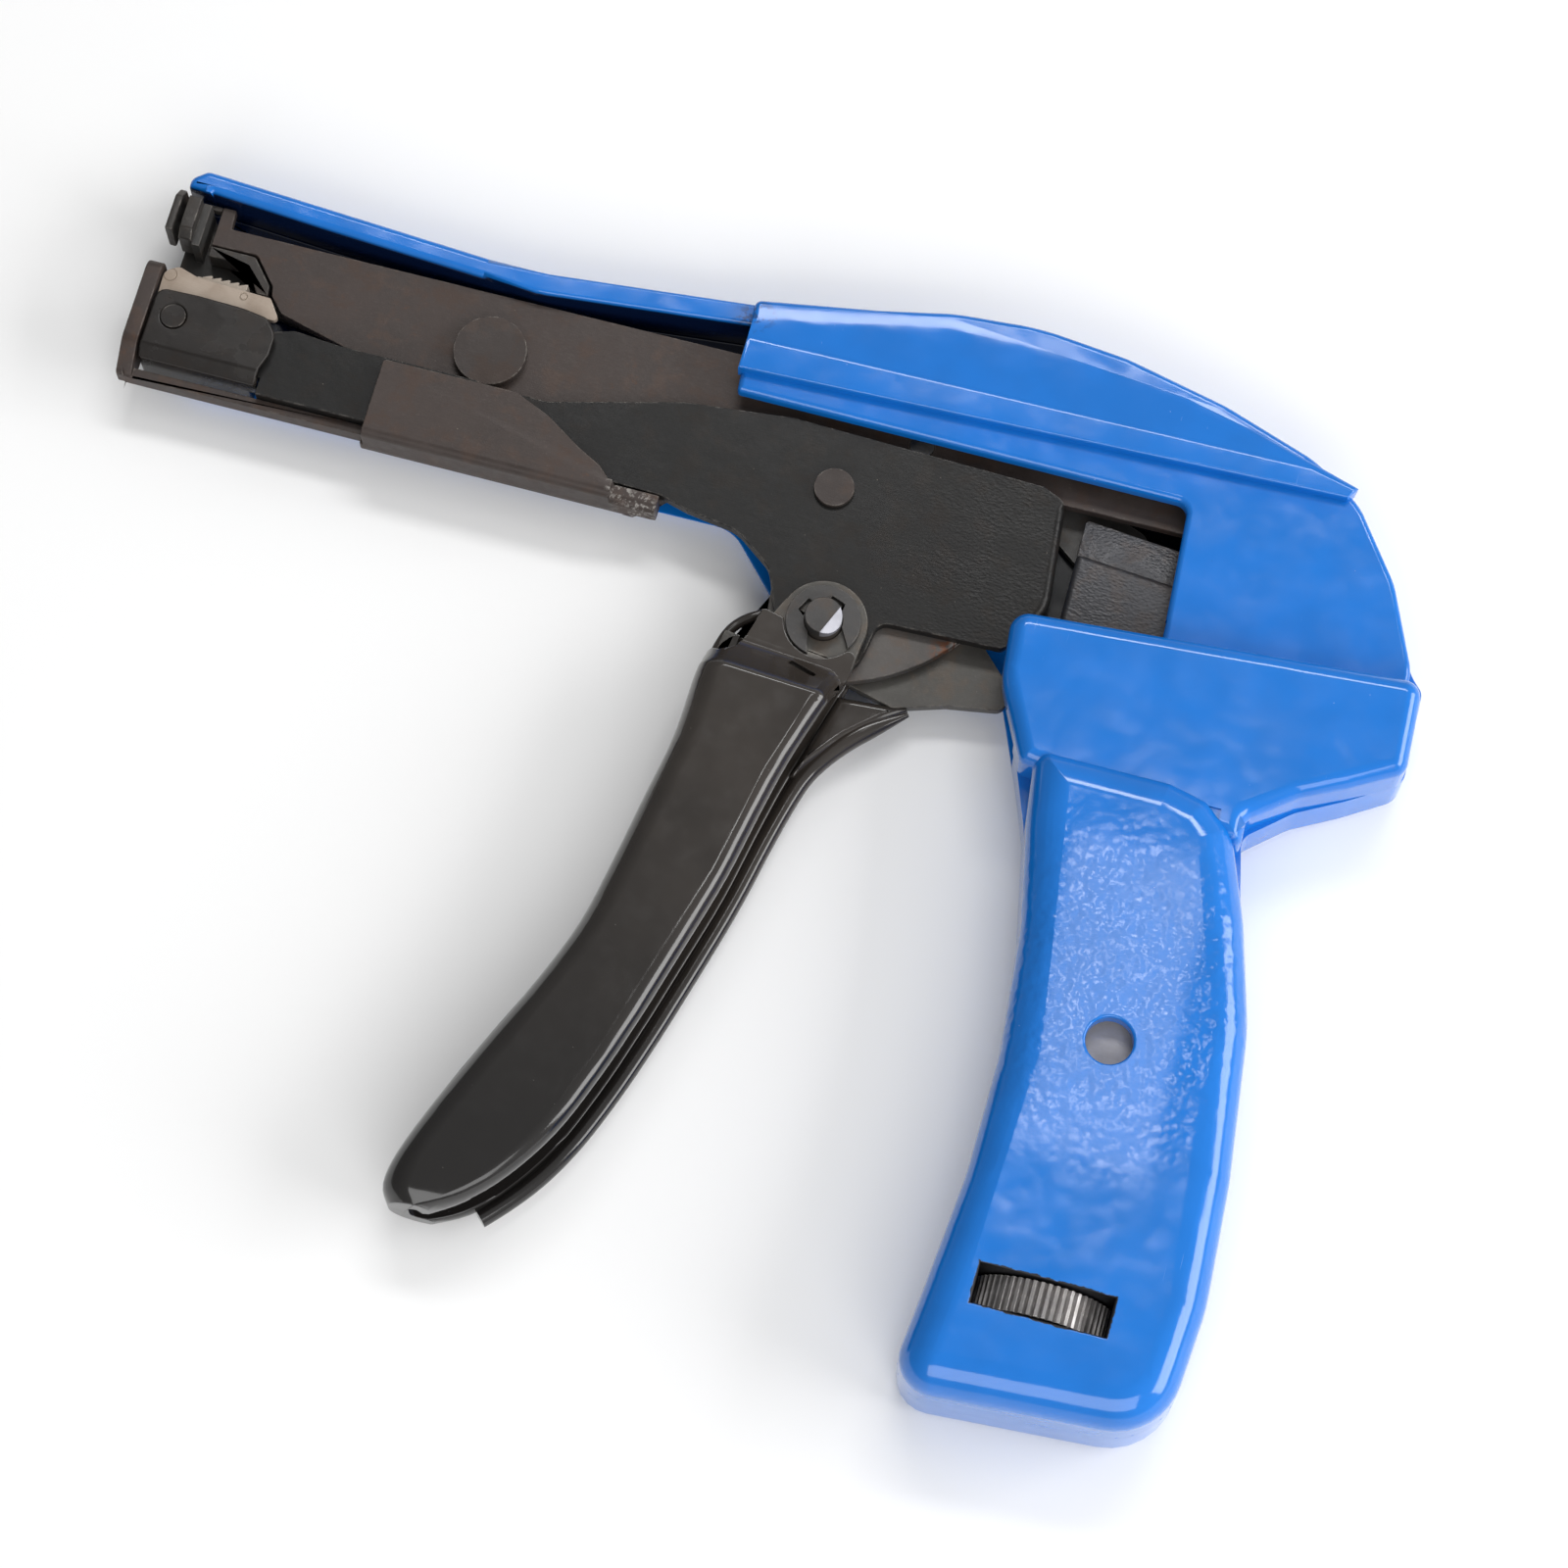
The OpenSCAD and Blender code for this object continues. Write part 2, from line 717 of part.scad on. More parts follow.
pawl_z = rod_z;
pawl_top = carriage_top - carriage_wall - gap;
pawl_face_t = 0.9;
pawl_mid = pawl_top - pawl_face_t;
pawl_shares = [
    [-486, 244, 12], [-468, 222, 12], [-450, 240, 10], [-446, 258, 6], [-392, 258, 3],
    [-404, 275, 2], [-461, 277, 8], [-477, 282, 6], [-487, 276, 8]
];
insert_shares = [
    [-484, 242, 12], [-468, 221, 12], [-451, 240, 10], [-414, 258, 3], [-414, 277, 2],
    [-462, 280, 2], [-478, 272, 6]
];

tooth_spot_share = [-459, 278];

module gripper_pawl() {
    color("#b9b0a4")
    difference() {
        plate(pawl_shares, pawl_mid, pawl_face_t);
        post(pawl_p, pawl_mid - over, pawl_top + over, pawl_pin_d + 2 * run);
    }
}

module pawl_teeth() {
    color("#aca69d")
    difference() {
        union() {
            plate(insert_shares, pawl_z, pawl_mid - pawl_z);
            for (k = [0 : tooth_count - 1])
                translate([x_at(tooth_spot_share[0]) + k * tooth_pitch, y_at(tooth_spot_share[1]), pawl_z])
                    linear_extrude(pawl_mid - pawl_z)
                        polygon([
                            [0, -over], [tooth_pitch, -over], [tooth_pitch, tooth_h],
                            [tooth_pitch - tooth_h / 4, tooth_h], [0, tooth_h / 2]
                        ]);
        }
        post(pawl_p, pawl_z - over, pawl_mid + over, pawl_pin_d + 2 * run);
    }
}

pawl_coil_r = 0.9;
pawl_wire = 0.4;
pawl_turns = 4;
pawl_coil_l = 4.4;

module pawl_spring() {
    color("#9a9c9f")
    translate([x_at(-442), carriage_floor_y + pawl_wire / 2, (pawl_z + pawl_mid) / 2])
        rotate([-90, 0, 0])
            coil(pawl_coil_r, pawl_wire, pawl_turns, pawl_coil_l, 6);
}

lug_shares = [[20, 90], [164, 90], [164, 160], [70, 272], [8, 272], [8, 200]];
lug_r_share = 147;

module rod_lug_plate() {
    color("#3a3531")
    difference() {
        translate([0, 0, rod_z - frame_t])
            linear_extrude(frame_t)
                intersection() {
                    translate(rod_rivet_p)
                        circle(r = lug_r_share * mil, $fn = 96);
                    polygon(spots(lug_shares));
                }
        post(trigger_p, frame_z - over, rod_z + over, pin_d + 2 * run);
        post(rod_rivet_p, frame_z - over, rod_z + over, rod_rivet_hole_d);
    }
}

rivet_rise = 0.7;

module rod_rivet() {
    color("#35312f")
    union() {
        post(rod_rivet_p, rod_z - frame_t, rod_top + over, rod_rivet_hole_d);
        post(rod_rivet_p, rod_top, rod_top + rivet_rise, rod_rivet_d);
    }
}

// Trigger stations from the steel above the dip line down to the tip: web x, web y,
// lip x, lip y, then the shares of the full near and far spread
station_shares = [
    [-15, 118, 87, 106, 0.01, 0.25],
    [-16, 111, 86, 99, 0.03, 0.3],
    [-18, 96, 84, 89, 0.06, 0.42],
    [-19, 79, 80, 75, 0.8, 0.62],
    [-21, 62, 76, 62, 0.97, 0.8],
    [-23, 18, 63, 21, 1, 1],
    [-31, -30, 53, -24, 1, 1],
    [-40, -84, 43, -75, 1, 1],
    [-50, -133, 28, -131, 1, 1],
    [-68, -182, 12, -188, 1, 1],
    [-90, -231, -4, -238, 1, 1],
    [-111, -281, -23, -285, 1, 1],
    [-127, -324, -47, -322, 0.9, 0.9],
    [-131, -348, -71, -346, 0.7, 0.5],
    [-125, -360, -93, -359, 0.4, 0]
];
near_start = ear_top + vinyl_t;
far_start = arm_z - vinyl_t;
corner_share = 0.4;

// Corner round of a channel section, from direction a to direction a + 90
function bend(u, z, r, a, n = 4) =
    [for (k = [0 : n]) [u + r * cos(a + 90 * k / n), z + r * sin(a + 90 * k / n)]];
function bend_back(u, z, r, a, n = 4) =
    [for (k = [0 : n]) [u + r * cos(a - 90 * k / n), z + r * sin(a - 90 * k / n)]];

// Section of an open channel: w across from web to lip, between heights low and high
function channel(w, low, high, t, r) =
    let (ri = max(r - t, over / 2))
    concat(
        [[w, high]],
        bend(r, high - r, r, 90),
        bend(r, low + r, r, 180),
        [[w, low], [w, low + t]],
        bend_back(t + ri, low + t + ri, ri, 270),
        bend_back(t + ri, high - t - ri, ri, 180),
        [[w, high - t]]
    );

function station_ring(s, shell, t) =
    let (a = spot([s[0], s[1]]),
         b = spot([s[2], s[3]]),
         u = unit(b - a),
         w = norm(b - a),
         low = far_start + (flange_far - far_start) * s[5] + shell,
         high = near_start + (flange_near - near_start) * s[4] - shell,
         r = min(channel_r - shell, (high - low) * corner_share),
         c = channel(w - shell, low, high, t, r))
    [for (p = c)
        let (v = p[0] + (p[0] < w / 2 ? shell : 0)) [a[0] + u[0] * v, a[1] + u[1] * v, p[1]]];

module trigger_channel(shell, t, first, last) {
    rings = [for (i = [first : last]) station_ring(station_shares[i], shell, t)];
    n = len(rings[0]);
    m = len(rings);
    polyhedron(
        points = [for (r = rings) for (p = r) p],
        faces = concat(
            [for (i = [0 : n / 2 - 2]) each [[i, i + 1, n - 2 - i], [i, n - 2 - i, n - 1 - i]]],
            [for (k = [0 : m - 2]) each side_faces(n, k, k + 1)],
            [for (i = [0 : n / 2 - 2]) let (b = (m - 1) * n)
                each [[b + i, b + n - 2 - i, b + i + 1], [b + i, b + n - 1 - i, b + n - 2 - i]]]
        ),
        convexity = 8
    );
}

far_arm_shares = [
    [-10, 114, 3], [86, 102, 3], [121, 93, 8], [158, 105, 30], [200, 112, 8], [200, 130, 12],
    [140, 190, 40], [124, 280, 20], [116, 352, 14], [84, 352, 14], [64, 280, 20],
    [40, 170, 30], [24, 140, 10]
];
ear_shares = [[27, 145], [15, 118], [16, 109.5], [84, 101.5], [87, 104], [89, 125]];
last_steel = 13;
top_notch_shares = [[-60, 92], [-8, 88], [3, 98], [9, 112], [14, 128], [14, 160], [-60, 160]];
notch_z = 6;

// Opening at the upper end of the trigger's web
module top_notch() {
    translate([0, 0, notch_z])
        linear_extrude(pin_top)
            polygon(spots(top_notch_shares));
}

module trigger_lever() {
    color("#45423e")
    difference() {
        union() {
            // Near ear
            translate([0, 0, ear_z])
                linear_extrude(arm_t)
                    union() {
                        translate(trigger_p)
                            circle(r = ear_r, $fn = 64);
                        polygon(spots(ear_shares));
                    }
            plate(far_arm_shares, arm_z, arm_t);
            trigger_channel(vinyl_t, arm_t, 0, last_steel);
        }
        top_notch();
        post(trigger_p, arm_z - over, ear_top + over, pin_d + 2 * run);
        slot_cut();
        post(spring_p, arm_z - over, arm_top + over, spring_hole_d);
    }
}

slot_run = 0.7;

// Slot in the far arm that rides on the fulcrum pin
module slot_cut() {
    d = unit(fulcrum_p - trigger_p);
    for (s = [-1, 1])
        post(fulcrum_p + d * slot_run * s, arm_z - over, arm_top + over, fulcrum_d + 2 * run);
    translate([fulcrum_p[0], fulcrum_p[1], 0])
        rotate(atan2(d[1], d[0]))
            box([-slot_run, -fulcrum_d / 2 - run, arm_z - over],
                [slot_run, fulcrum_d / 2 + run, arm_top + over]);
}

flare_shares = [
    [80, 92, 2], [60, 16, 3], [72, 35, 40], [92, 61, 60], [116, 82, 60], [138, 97, 2],
    [121, 95, 6]
];
ear_skin_shares = [
    [14, 131, 3], [30, 127, 10], [66, 115, 10], [86, 114, 3], [85, 92, 4], [0, 96, 4]
];
slit_shares = [[44, 93], [62, 90]];
slit_w = 0.7;
rod_end_share = 82;
rod_end_d = rod_end_share * mil;

module slit() {
    hull()
        for (p = spots(slit_shares)) post(p, ear_top, clip_z + vinyl_t + over, slit_w);
}

// Vinyl dip with the flare that runs out along the far arm
module trigger_grip() {
    color("#161515")
    difference() {
        union() {
            trigger_channel(0, arm_t + 2 * vinyl_t, 1, len(station_shares) - 1);
            plate(flare_shares, far_start, arm_top + vinyl_t / 2 - far_start);
            plate(ear_skin_shares, ear_top, vinyl_t);
        }
        top_notch();
        // Clear of the clip
        post(trigger_p, ear_top - gap / 2, clip_z + clip_t + over, 2 * (clip_r + gap));
        slit();
        trigger_channel(vinyl_t, arm_t, 0, last_steel);
        plate(far_arm_shares, far_start - over, arm_top + vinyl_t);
        // Room for the end of the pull rod
        post(trigger_p, rod_z - gap, ear_z + gap, rod_end_d);
    }
}

foot_d = pin_d + 2;

module trigger_pin() {
    color("#5c5a58")
    union() {
        post(trigger_p, cutter_z + gap, pin_top, pin_d);
        post(trigger_p, cutter_z + gap, arm_z - gap / 2, foot_d);
    }
}

clip_r = 4.6;
clip_mouth = [1.9, 2.7];
clip_notch = [0.9, 1.8];

module trigger_clip() {
    color("#3d3b39")
    translate([trigger_p[0], trigger_p[1], clip_z])
        linear_extrude(clip_t)
            difference() {
                circle(r = clip_r, $fn = 64);
                circle(r = pin_d / 2 + run, $fn = fine);
                rotate(-68)
                    polygon([
                        [0, -clip_mouth[0]], [clip_r + 1, -clip_mouth[1]],
                        [clip_r + 1, clip_mouth[1]], [0, clip_mouth[0]]
                    ]);
                for (a = [70, 152])
                    rotate(a)
                        translate([pin_d / 2, -clip_notch[1] / 2])
                            square(clip_notch);
            }
}

link_shares = [
    [222, 209, 3], [258, 198, 8], [286, 192, 6], [300, 150, 4], [300, 60, 4], [366, 60, 4],
    [366, 150, 12], [352, 215, 20], [338, 254, 8], [288, 266, 20], [222, 272, 3]
];
plug_play = 0.3;
plug_d = coil_d - 2 * coil_wire - 2 * plug_play;
coil_top_y = y_at(52);

module tension_link() {
    color("#4a4744")
    difference() {
        union() {
            plate(link_shares, arm_z, arm_t);
            // Plug that the spring's upper end is wound on
            along_y(screw_x, y_at(34), y_at(66), split_z, plug_d);
            box([screw_x - screw_d / 2, coil_top_y + gap, arm_z],
                [screw_x + screw_d / 2, y_at(66), split_z]);
        }
        post(link_pin_p, arm_z - over, arm_top + over, link_pin_d - 1);
    }
}

module link_pin() {
    color("#8a8783")
    union() {
        post(link_pin_p, cutter_z, arm_z, link_pin_d);
        post(link_pin_p, cutter_z, arm_top, link_pin_d - 1);
    }
}

nut_l = 11;
nut_w = 11.2;
nut_round_d = 13;
nut_boss_l = 3;
spring_low_y = sight_y + nut_l / 2;

module tension_spring() {
    color("#9a9c9f")
    translate([screw_x, spring_low_y, split_z])
        rotate([-90, 0, 0])
            coil(coil_d / 2 - coil_wire / 2, coil_wire, coil_turns, coil_top_y - spring_low_y, 6);
}

module tension_nut() {
    color("#6f6c69")
    difference() {
        union() {
            translate([screw_x, sight_y, split_z])
                rotate([90, 0, 0])
                    intersection() {
                        cylinder(h = nut_l - coil_wire, d = nut_round_d, center = true, $fn = fine);
                        cube([nut_w, nut_w, nut_l], center = true);
                    }
            along_y(screw_x, sight_y, spring_low_y + nut_boss_l, split_z, plug_d);
        }
        along_y(screw_x, sight_y - nut_l, sight_y + nut_l, split_z, screw_d + 2 * run);
    }
}

module tension_screw() {
    color("#8a8783")
    along_y(screw_x, bush_low_y + gap, spring_low_y + nut_boss_l - over, split_z, screw_d);
}

module screw_bushes() {
    color("#a88a4a")
    difference() {
        union() {
            along_y(screw_x, bush_low_y, window_low_y, split_z, bush_d);
            along_y(screw_x, window_top_y, cavity_low_y, split_z, bush_d);
        }
        along_y(screw_x, bush_low_y - over, cavity_low_y + over, split_z, screw_d + 2 * run);
    }
}

ridge_h = 0.45;
ridge_rise = 0.3;

module tension_wheel() {
    color("#2b2b2b")
    translate([screw_x, wheel_y, split_z])
        rotate([90, 0, 0])
            difference() {
                linear_extrude(wheel_t, center = true)
                    polygon([for (k = [0 : ridge_count - 1])
                        let (a = 360 * k / ridge_count, s = 360 / ridge_count)
                        each [
                            [cos(a), sin(a)] * (wheel_d / 2 - ridge_h),
                            [cos(a + s * ridge_rise), sin(a + s * ridge_rise)] * wheel_d / 2,
                            [cos(a + s * (1 - ridge_rise)), sin(a + s * (1 - ridge_rise))]
                                * wheel_d / 2
                        ]]);
                cylinder(h = wheel_t + 2 * over, d = screw_d, center = true, $fn = fine);
            }
}

right_housing();
left_housing();
housing_screws();
frame_screws();
barrel_frame();
nose_block();
anvil_plate();
cutter_pivot();
cutter_arm();
cutter_blade();
fulcrum_pin();
spring_post();
return_spring();
pull_rod();
carriage();
pawl_pin();
gripper_pawl();
pawl_teeth();
pawl_spring();
rod_lug_plate();
rod_rivet();
trigger_lever();
trigger_grip();
trigger_pin();
trigger_clip();
tension_link();
link_pin();
tension_spring();
tension_nut();
tension_screw();
screw_bushes();
tension_wheel();
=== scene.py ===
"""Looks of the cable tie tensioning tool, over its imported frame. The tool lies on its far side:
X runs from the nose to the heel, Y towards the crown of the body, Z up. Lengths are in metres.
Outline tables are in shares of the tool's length, as [x, y, corner radius]."""

import json
import math

import bmesh
import bpy
from mathutils import Matrix, Vector

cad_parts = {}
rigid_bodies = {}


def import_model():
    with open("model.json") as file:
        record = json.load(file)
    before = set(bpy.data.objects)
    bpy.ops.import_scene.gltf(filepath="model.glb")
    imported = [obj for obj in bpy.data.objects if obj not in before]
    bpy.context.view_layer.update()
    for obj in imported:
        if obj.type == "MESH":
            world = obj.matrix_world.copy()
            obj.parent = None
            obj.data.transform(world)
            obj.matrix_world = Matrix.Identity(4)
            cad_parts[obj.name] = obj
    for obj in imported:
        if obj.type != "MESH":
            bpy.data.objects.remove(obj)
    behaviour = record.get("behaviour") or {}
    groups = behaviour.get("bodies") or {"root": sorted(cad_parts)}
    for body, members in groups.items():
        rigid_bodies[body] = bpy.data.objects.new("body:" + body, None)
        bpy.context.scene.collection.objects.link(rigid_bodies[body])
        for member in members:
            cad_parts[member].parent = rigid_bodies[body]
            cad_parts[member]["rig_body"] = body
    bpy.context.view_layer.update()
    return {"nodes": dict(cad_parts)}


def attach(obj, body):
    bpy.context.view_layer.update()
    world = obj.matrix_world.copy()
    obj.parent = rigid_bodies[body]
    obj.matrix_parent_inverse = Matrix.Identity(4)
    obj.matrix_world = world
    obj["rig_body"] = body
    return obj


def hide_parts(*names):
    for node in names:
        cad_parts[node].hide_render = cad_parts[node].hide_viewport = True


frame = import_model()
NODES = frame["nodes"]
MM = 0.001
TOOL_LEN, SPAN_SHARES, SHIFT_SHARE = 165.7, 992, 4
MIL = TOOL_LEN / SPAN_SHARES / 1000


def X(v):
    return (v + SHIFT_SHARE) * MIL


def Y(v):
    return v * MIL


# camera, light, floor

LENS, SENSOR = 105.75, 36
CAMERA_AT = Vector((55.47, -163.1, 533.5)) * MM
# Directions of the picture's right and up sides
RIGHT = Vector((0.9655, 0.2605, 0))
UP = Vector((-0.2477, 0.9182, 0.3090))
# Strength of the room's light from the left and from the right
ROOM = (0.2, 0.6)
# Name, place, target, width, height, watts
LIGHTS = [
    ("right", (0.80, 0.10, 0.38), (0.03, 0, 0), 0.8, 0.42, 5.7),
    ("front", (0.22, -0.70, 0.62), (0.02, 0, 0), 0.9, 0.55, 4.3),
    ("top", (0.0, 0.52, 0.80), (0.02, 0, 0), 0.6, 0.15, 2.5),
    ("panel", (0.056, 0.229, 0.886), (0.057, -0.024, 0.017), 0.05, 0.10, 0.13),
]
FLOOR_HALF = 1.6
FLOOR_TONE = (0.93, 0.93, 0.93)


def set_camera():
    data = bpy.data.cameras.new("camera")
    data.lens = LENS
    data.sensor_width = SENSOR
    cam = bpy.data.objects.new("camera", data)
    bpy.context.scene.collection.objects.link(cam)
    r = RIGHT.normalized()
    back = r.cross(UP).normalized()
    u = back.cross(r)
    m = Matrix((r, u, back)).transposed().to_4x4()
    m.translation = CAMERA_AT
    cam.matrix_world = m
    bpy.context.scene.camera = cam


def area_light(name, at, target, wide, tall, power):
    data = bpy.data.lights.new(name, "AREA")
    data.shape = "RECTANGLE"
    data.size = wide
    data.size_y = tall
    data.energy = power
    lamp = bpy.data.objects.new(name, data)
    bpy.context.scene.collection.objects.link(lamp)
    at = Vector(at)
    turn = (Vector(target) - at).to_track_quat("-Z", "Y")
    lamp.matrix_world = Matrix.Translation(at) @ turn.to_matrix().to_4x4()


def set_light():
    world = bpy.data.worlds.new("studio")
    world.use_nodes = True
    tree = world.node_tree
    bg = tree.nodes["Background"]
    bg.inputs["Color"].default_value = (1, 1, 1, 1)
    # The room is dimmer on the left, so roundings that face it go dark
    split = tree.nodes.new("ShaderNodeSeparateXYZ")
    dim = tree.nodes.new("ShaderNodeMapRange")
    dim.inputs["From Min"].default_value = -1
    dim.inputs["To Min"].default_value, dim.inputs["To Max"].default_value = ROOM
    tree.links.new(tree.nodes.new("ShaderNodeTexCoord").outputs["Generated"], split.inputs[0])
    tree.links.new(split.outputs[0], dim.inputs["Value"])
    tree.links.new(dim.outputs[0], bg.inputs["Strength"])
    bpy.context.scene.world = world
    for light in LIGHTS:
        area_light(*light)
    bpy.context.scene.view_settings.view_transform = "Standard"


def set_floor():
    bm = bmesh.new()
    bmesh.ops.create_grid(bm, x_segments=2, y_segments=2, size=FLOOR_HALF)
    ob = new_object("floor", bm)
    n = Net("floor", color=FLOOR_TONE, rough=0.75, specular=0.2)
    ob.data.materials.append(n.mat)


# materials


class Wire:
    """One output of a material's net, with arithmetic."""

    def __init__(self, net, socket):
        self.net, self.socket = net, socket

    def _op(self, op, a, b=0.0):
        return self.net.node("ShaderNodeMath", {0: a, 1: b}, operation=op)

    def __add__(self, o):
        return self._op("ADD", self, o)

    def __sub__(self, o):
        return self._op("SUBTRACT", self, o)

    def __rsub__(self, o):
        return self._op("SUBTRACT", o, self)

    def __mul__(self, o):
        return self._op("MULTIPLY", self, o)

    def __abs__(self):
        return self._op("ABSOLUTE", self)

    def most(self, o):
        return self._op("MAXIMUM", self, o)

    def over(self, lo, hi, a=0.0, b=1.0):
        """Maps lo..hi to a..b, smooth and clamped"""
        return self.net.node(
            "ShaderNodeMapRange",
            {"Value": self, "From Min": lo, "From Max": hi, "To Min": a, "To Max": b},
            interpolation_type="SMOOTHSTEP",
        )

    def pick(self, a, b):
        """Colour a where self is 0, b where it is 1"""
        return self.net.node(
            "ShaderNodeMix", {0: self, 6: a, 7: b}, out=2, data_type="RGBA", clamp_factor=True
        )


class Net:
    """One procedural material on a Principled shader, in object coordinates."""

    def __init__(self, name, color=(0.5, 0.5, 0.5), rough=0.5, metal=0.0, specular=0.5, coat=0.0,
                 coat_rough=0.1):
        self.mat = bpy.data.materials.new(name)
        self.mat.use_nodes = True
        self.tree = self.mat.node_tree
        self.tree.nodes.clear()
        self.shader = self.tree.nodes.new("ShaderNodeBsdfPrincipled")
        out = self.tree.nodes.new("ShaderNodeOutputMaterial")
        self.tree.links.new(self.shader.outputs[0], out.inputs["Surface"])
        self.co = Wire(self, self.tree.nodes.new("ShaderNodeTexCoord").outputs["Object"])
        for key, v in {"Base Color": color, "Roughness": rough, "Metallic": metal,
                       "Specular IOR Level": specular, "Coat Weight": coat,
                       "Coat Roughness": coat_rough}.items():
            self.put(self.shader, key, v)
        self.bumps = None

    def put(self, node, key, v):
        if isinstance(v, Wire):
            self.tree.links.new(v.socket, node.inputs[key])
        elif isinstance(v, tuple) and node.inputs[key].type == "RGBA":
            node.inputs[key].default_value = (*v, 1.0) if len(v) == 3 else v
        else:
            node.inputs[key].default_value = v

    def node(self, kind, inputs, out=0, **props):
        n = self.tree.nodes.new(kind)
        for k, v in props.items():
            setattr(n, k, v)
        for k, v in inputs.items():
            self.put(n, k, v)
        return Wire(self, n.outputs[out])

    def moved(self, scale, turn=0.0):
        return self.node(
            "ShaderNodeMapping", {"Vector": self.co, "Scale": scale, "Rotation": (0, 0, turn)}
        )

    def noise(self, size, detail=3.0, rough=0.5, co=None):
        """Noise with features of about size metres"""
        return self.node(
            "ShaderNodeTexNoise",
            {"Vector": co or self.co, "Scale": 1 / size, "Detail": detail, "Roughness": rough},
        )

    def cells(self, size, co=None, feature="F1"):
        return self.node(
            "ShaderNodeTexVoronoi", {"Vector": co or self.co, "Scale": 1 / size}, feature=feature
        )

    def axis(self, k):
        return self.node("ShaderNodeSeparateXYZ", {0: self.co}, out=k)

    def away(self, x, y):
        """Distance in plan from a place"""
        flat = self.node("ShaderNodeVectorMath", {0: self.co, 1: (1, 1, 0)}, operation="MULTIPLY")
        return self.node("ShaderNodeVectorMath", {0: flat, 1: (x, y, 0)}, out=1,
                         operation="DISTANCE")

    def near(self, x, y, r, soft=0.5):
        """1 within r metres of a place in plan, falling to 0 over soft of r"""
        return self.away(x, y).over(r * (1 - soft), r * (1 + soft), 1.0, 0.0)

    def field(self, x0, x1, y0, y1):
        """1 inside a rectangle in plan given in shares, falling to 0 over 6 shares"""
        x, y = self.axis(0), self.axis(1)
        across = x.over(X(x0), X(x0 + 6)) * x.over(X(x1 - 6), X(x1), 1.0, 0.0)
        return across * y.over(Y(y0), Y(y0 + 6)) * y.over(Y(y1 - 6), Y(y1), 1.0, 0.0)

    def under(self, lo, hi):
        """1 below the height lo, 0 above hi"""
        return self.axis(2).over(lo, hi, 1.0, 0.0)

    def worn(self, wide=0.35 * MM):
        """1 along convex edges, broken up by noise"""
        bevel = self.tree.nodes.new("ShaderNodeBevel")
        bevel.samples = 4
        bevel.inputs["Radius"].default_value = wide
        g = self.tree.nodes.new("ShaderNodeNewGeometry")
        dot = self.node(
            "ShaderNodeVectorMath",
            {0: Wire(self, bevel.outputs[0]), 1: Wire(self, g.outputs["Normal"])},
            out=1,
            operation="DOT_PRODUCT",
        )
        return (1 - dot).over(0.02, 0.22) * self.noise(1.3 * MM, 4, 0.65).over(0.42, 0.62)

    def specks(self, size, dot, gate=0.55):
        """Small dots, one in some cells of the given size"""
        return self.cells(size).over(dot * 0.6, dot, 1.0, 0.0) * self.noise(2.7 * size).over(
            gate, gate + 0.06)

    def bump(self, height, depth):
        """Adds a height field, depth metres deep"""
        n = self.tree.nodes.new("ShaderNodeBump")
        n.inputs["Strength"].default_value = 1.0
        n.inputs["Distance"].default_value = depth
        self.tree.links.new(height.socket, n.inputs["Height"])
        if self.bumps:
            self.tree.links.new(self.bumps, n.inputs["Normal"])
        self.bumps = n.outputs[0]
        self.tree.links.new(self.bumps, self.shader.inputs["Normal"])

    def set(self, **values):
        names = {"color": "Base Color", "rough": "Roughness", "metal": "Metallic",
                 "coat": "Coat Weight"}
        for k, v in values.items():
            self.put(self.shader, names[k], v)


PAINT = (0.0035, 0.160, 0.585)
RUST = (0.12, 0.052, 0.022)
DUST_AND_GLINT_TONE = (0.45, 0.4, 0.34)
RUBBED = (0.5, 0.46, 0.41)


def times(color, k):
    return tuple(min(1.0, c * k) for c in color)


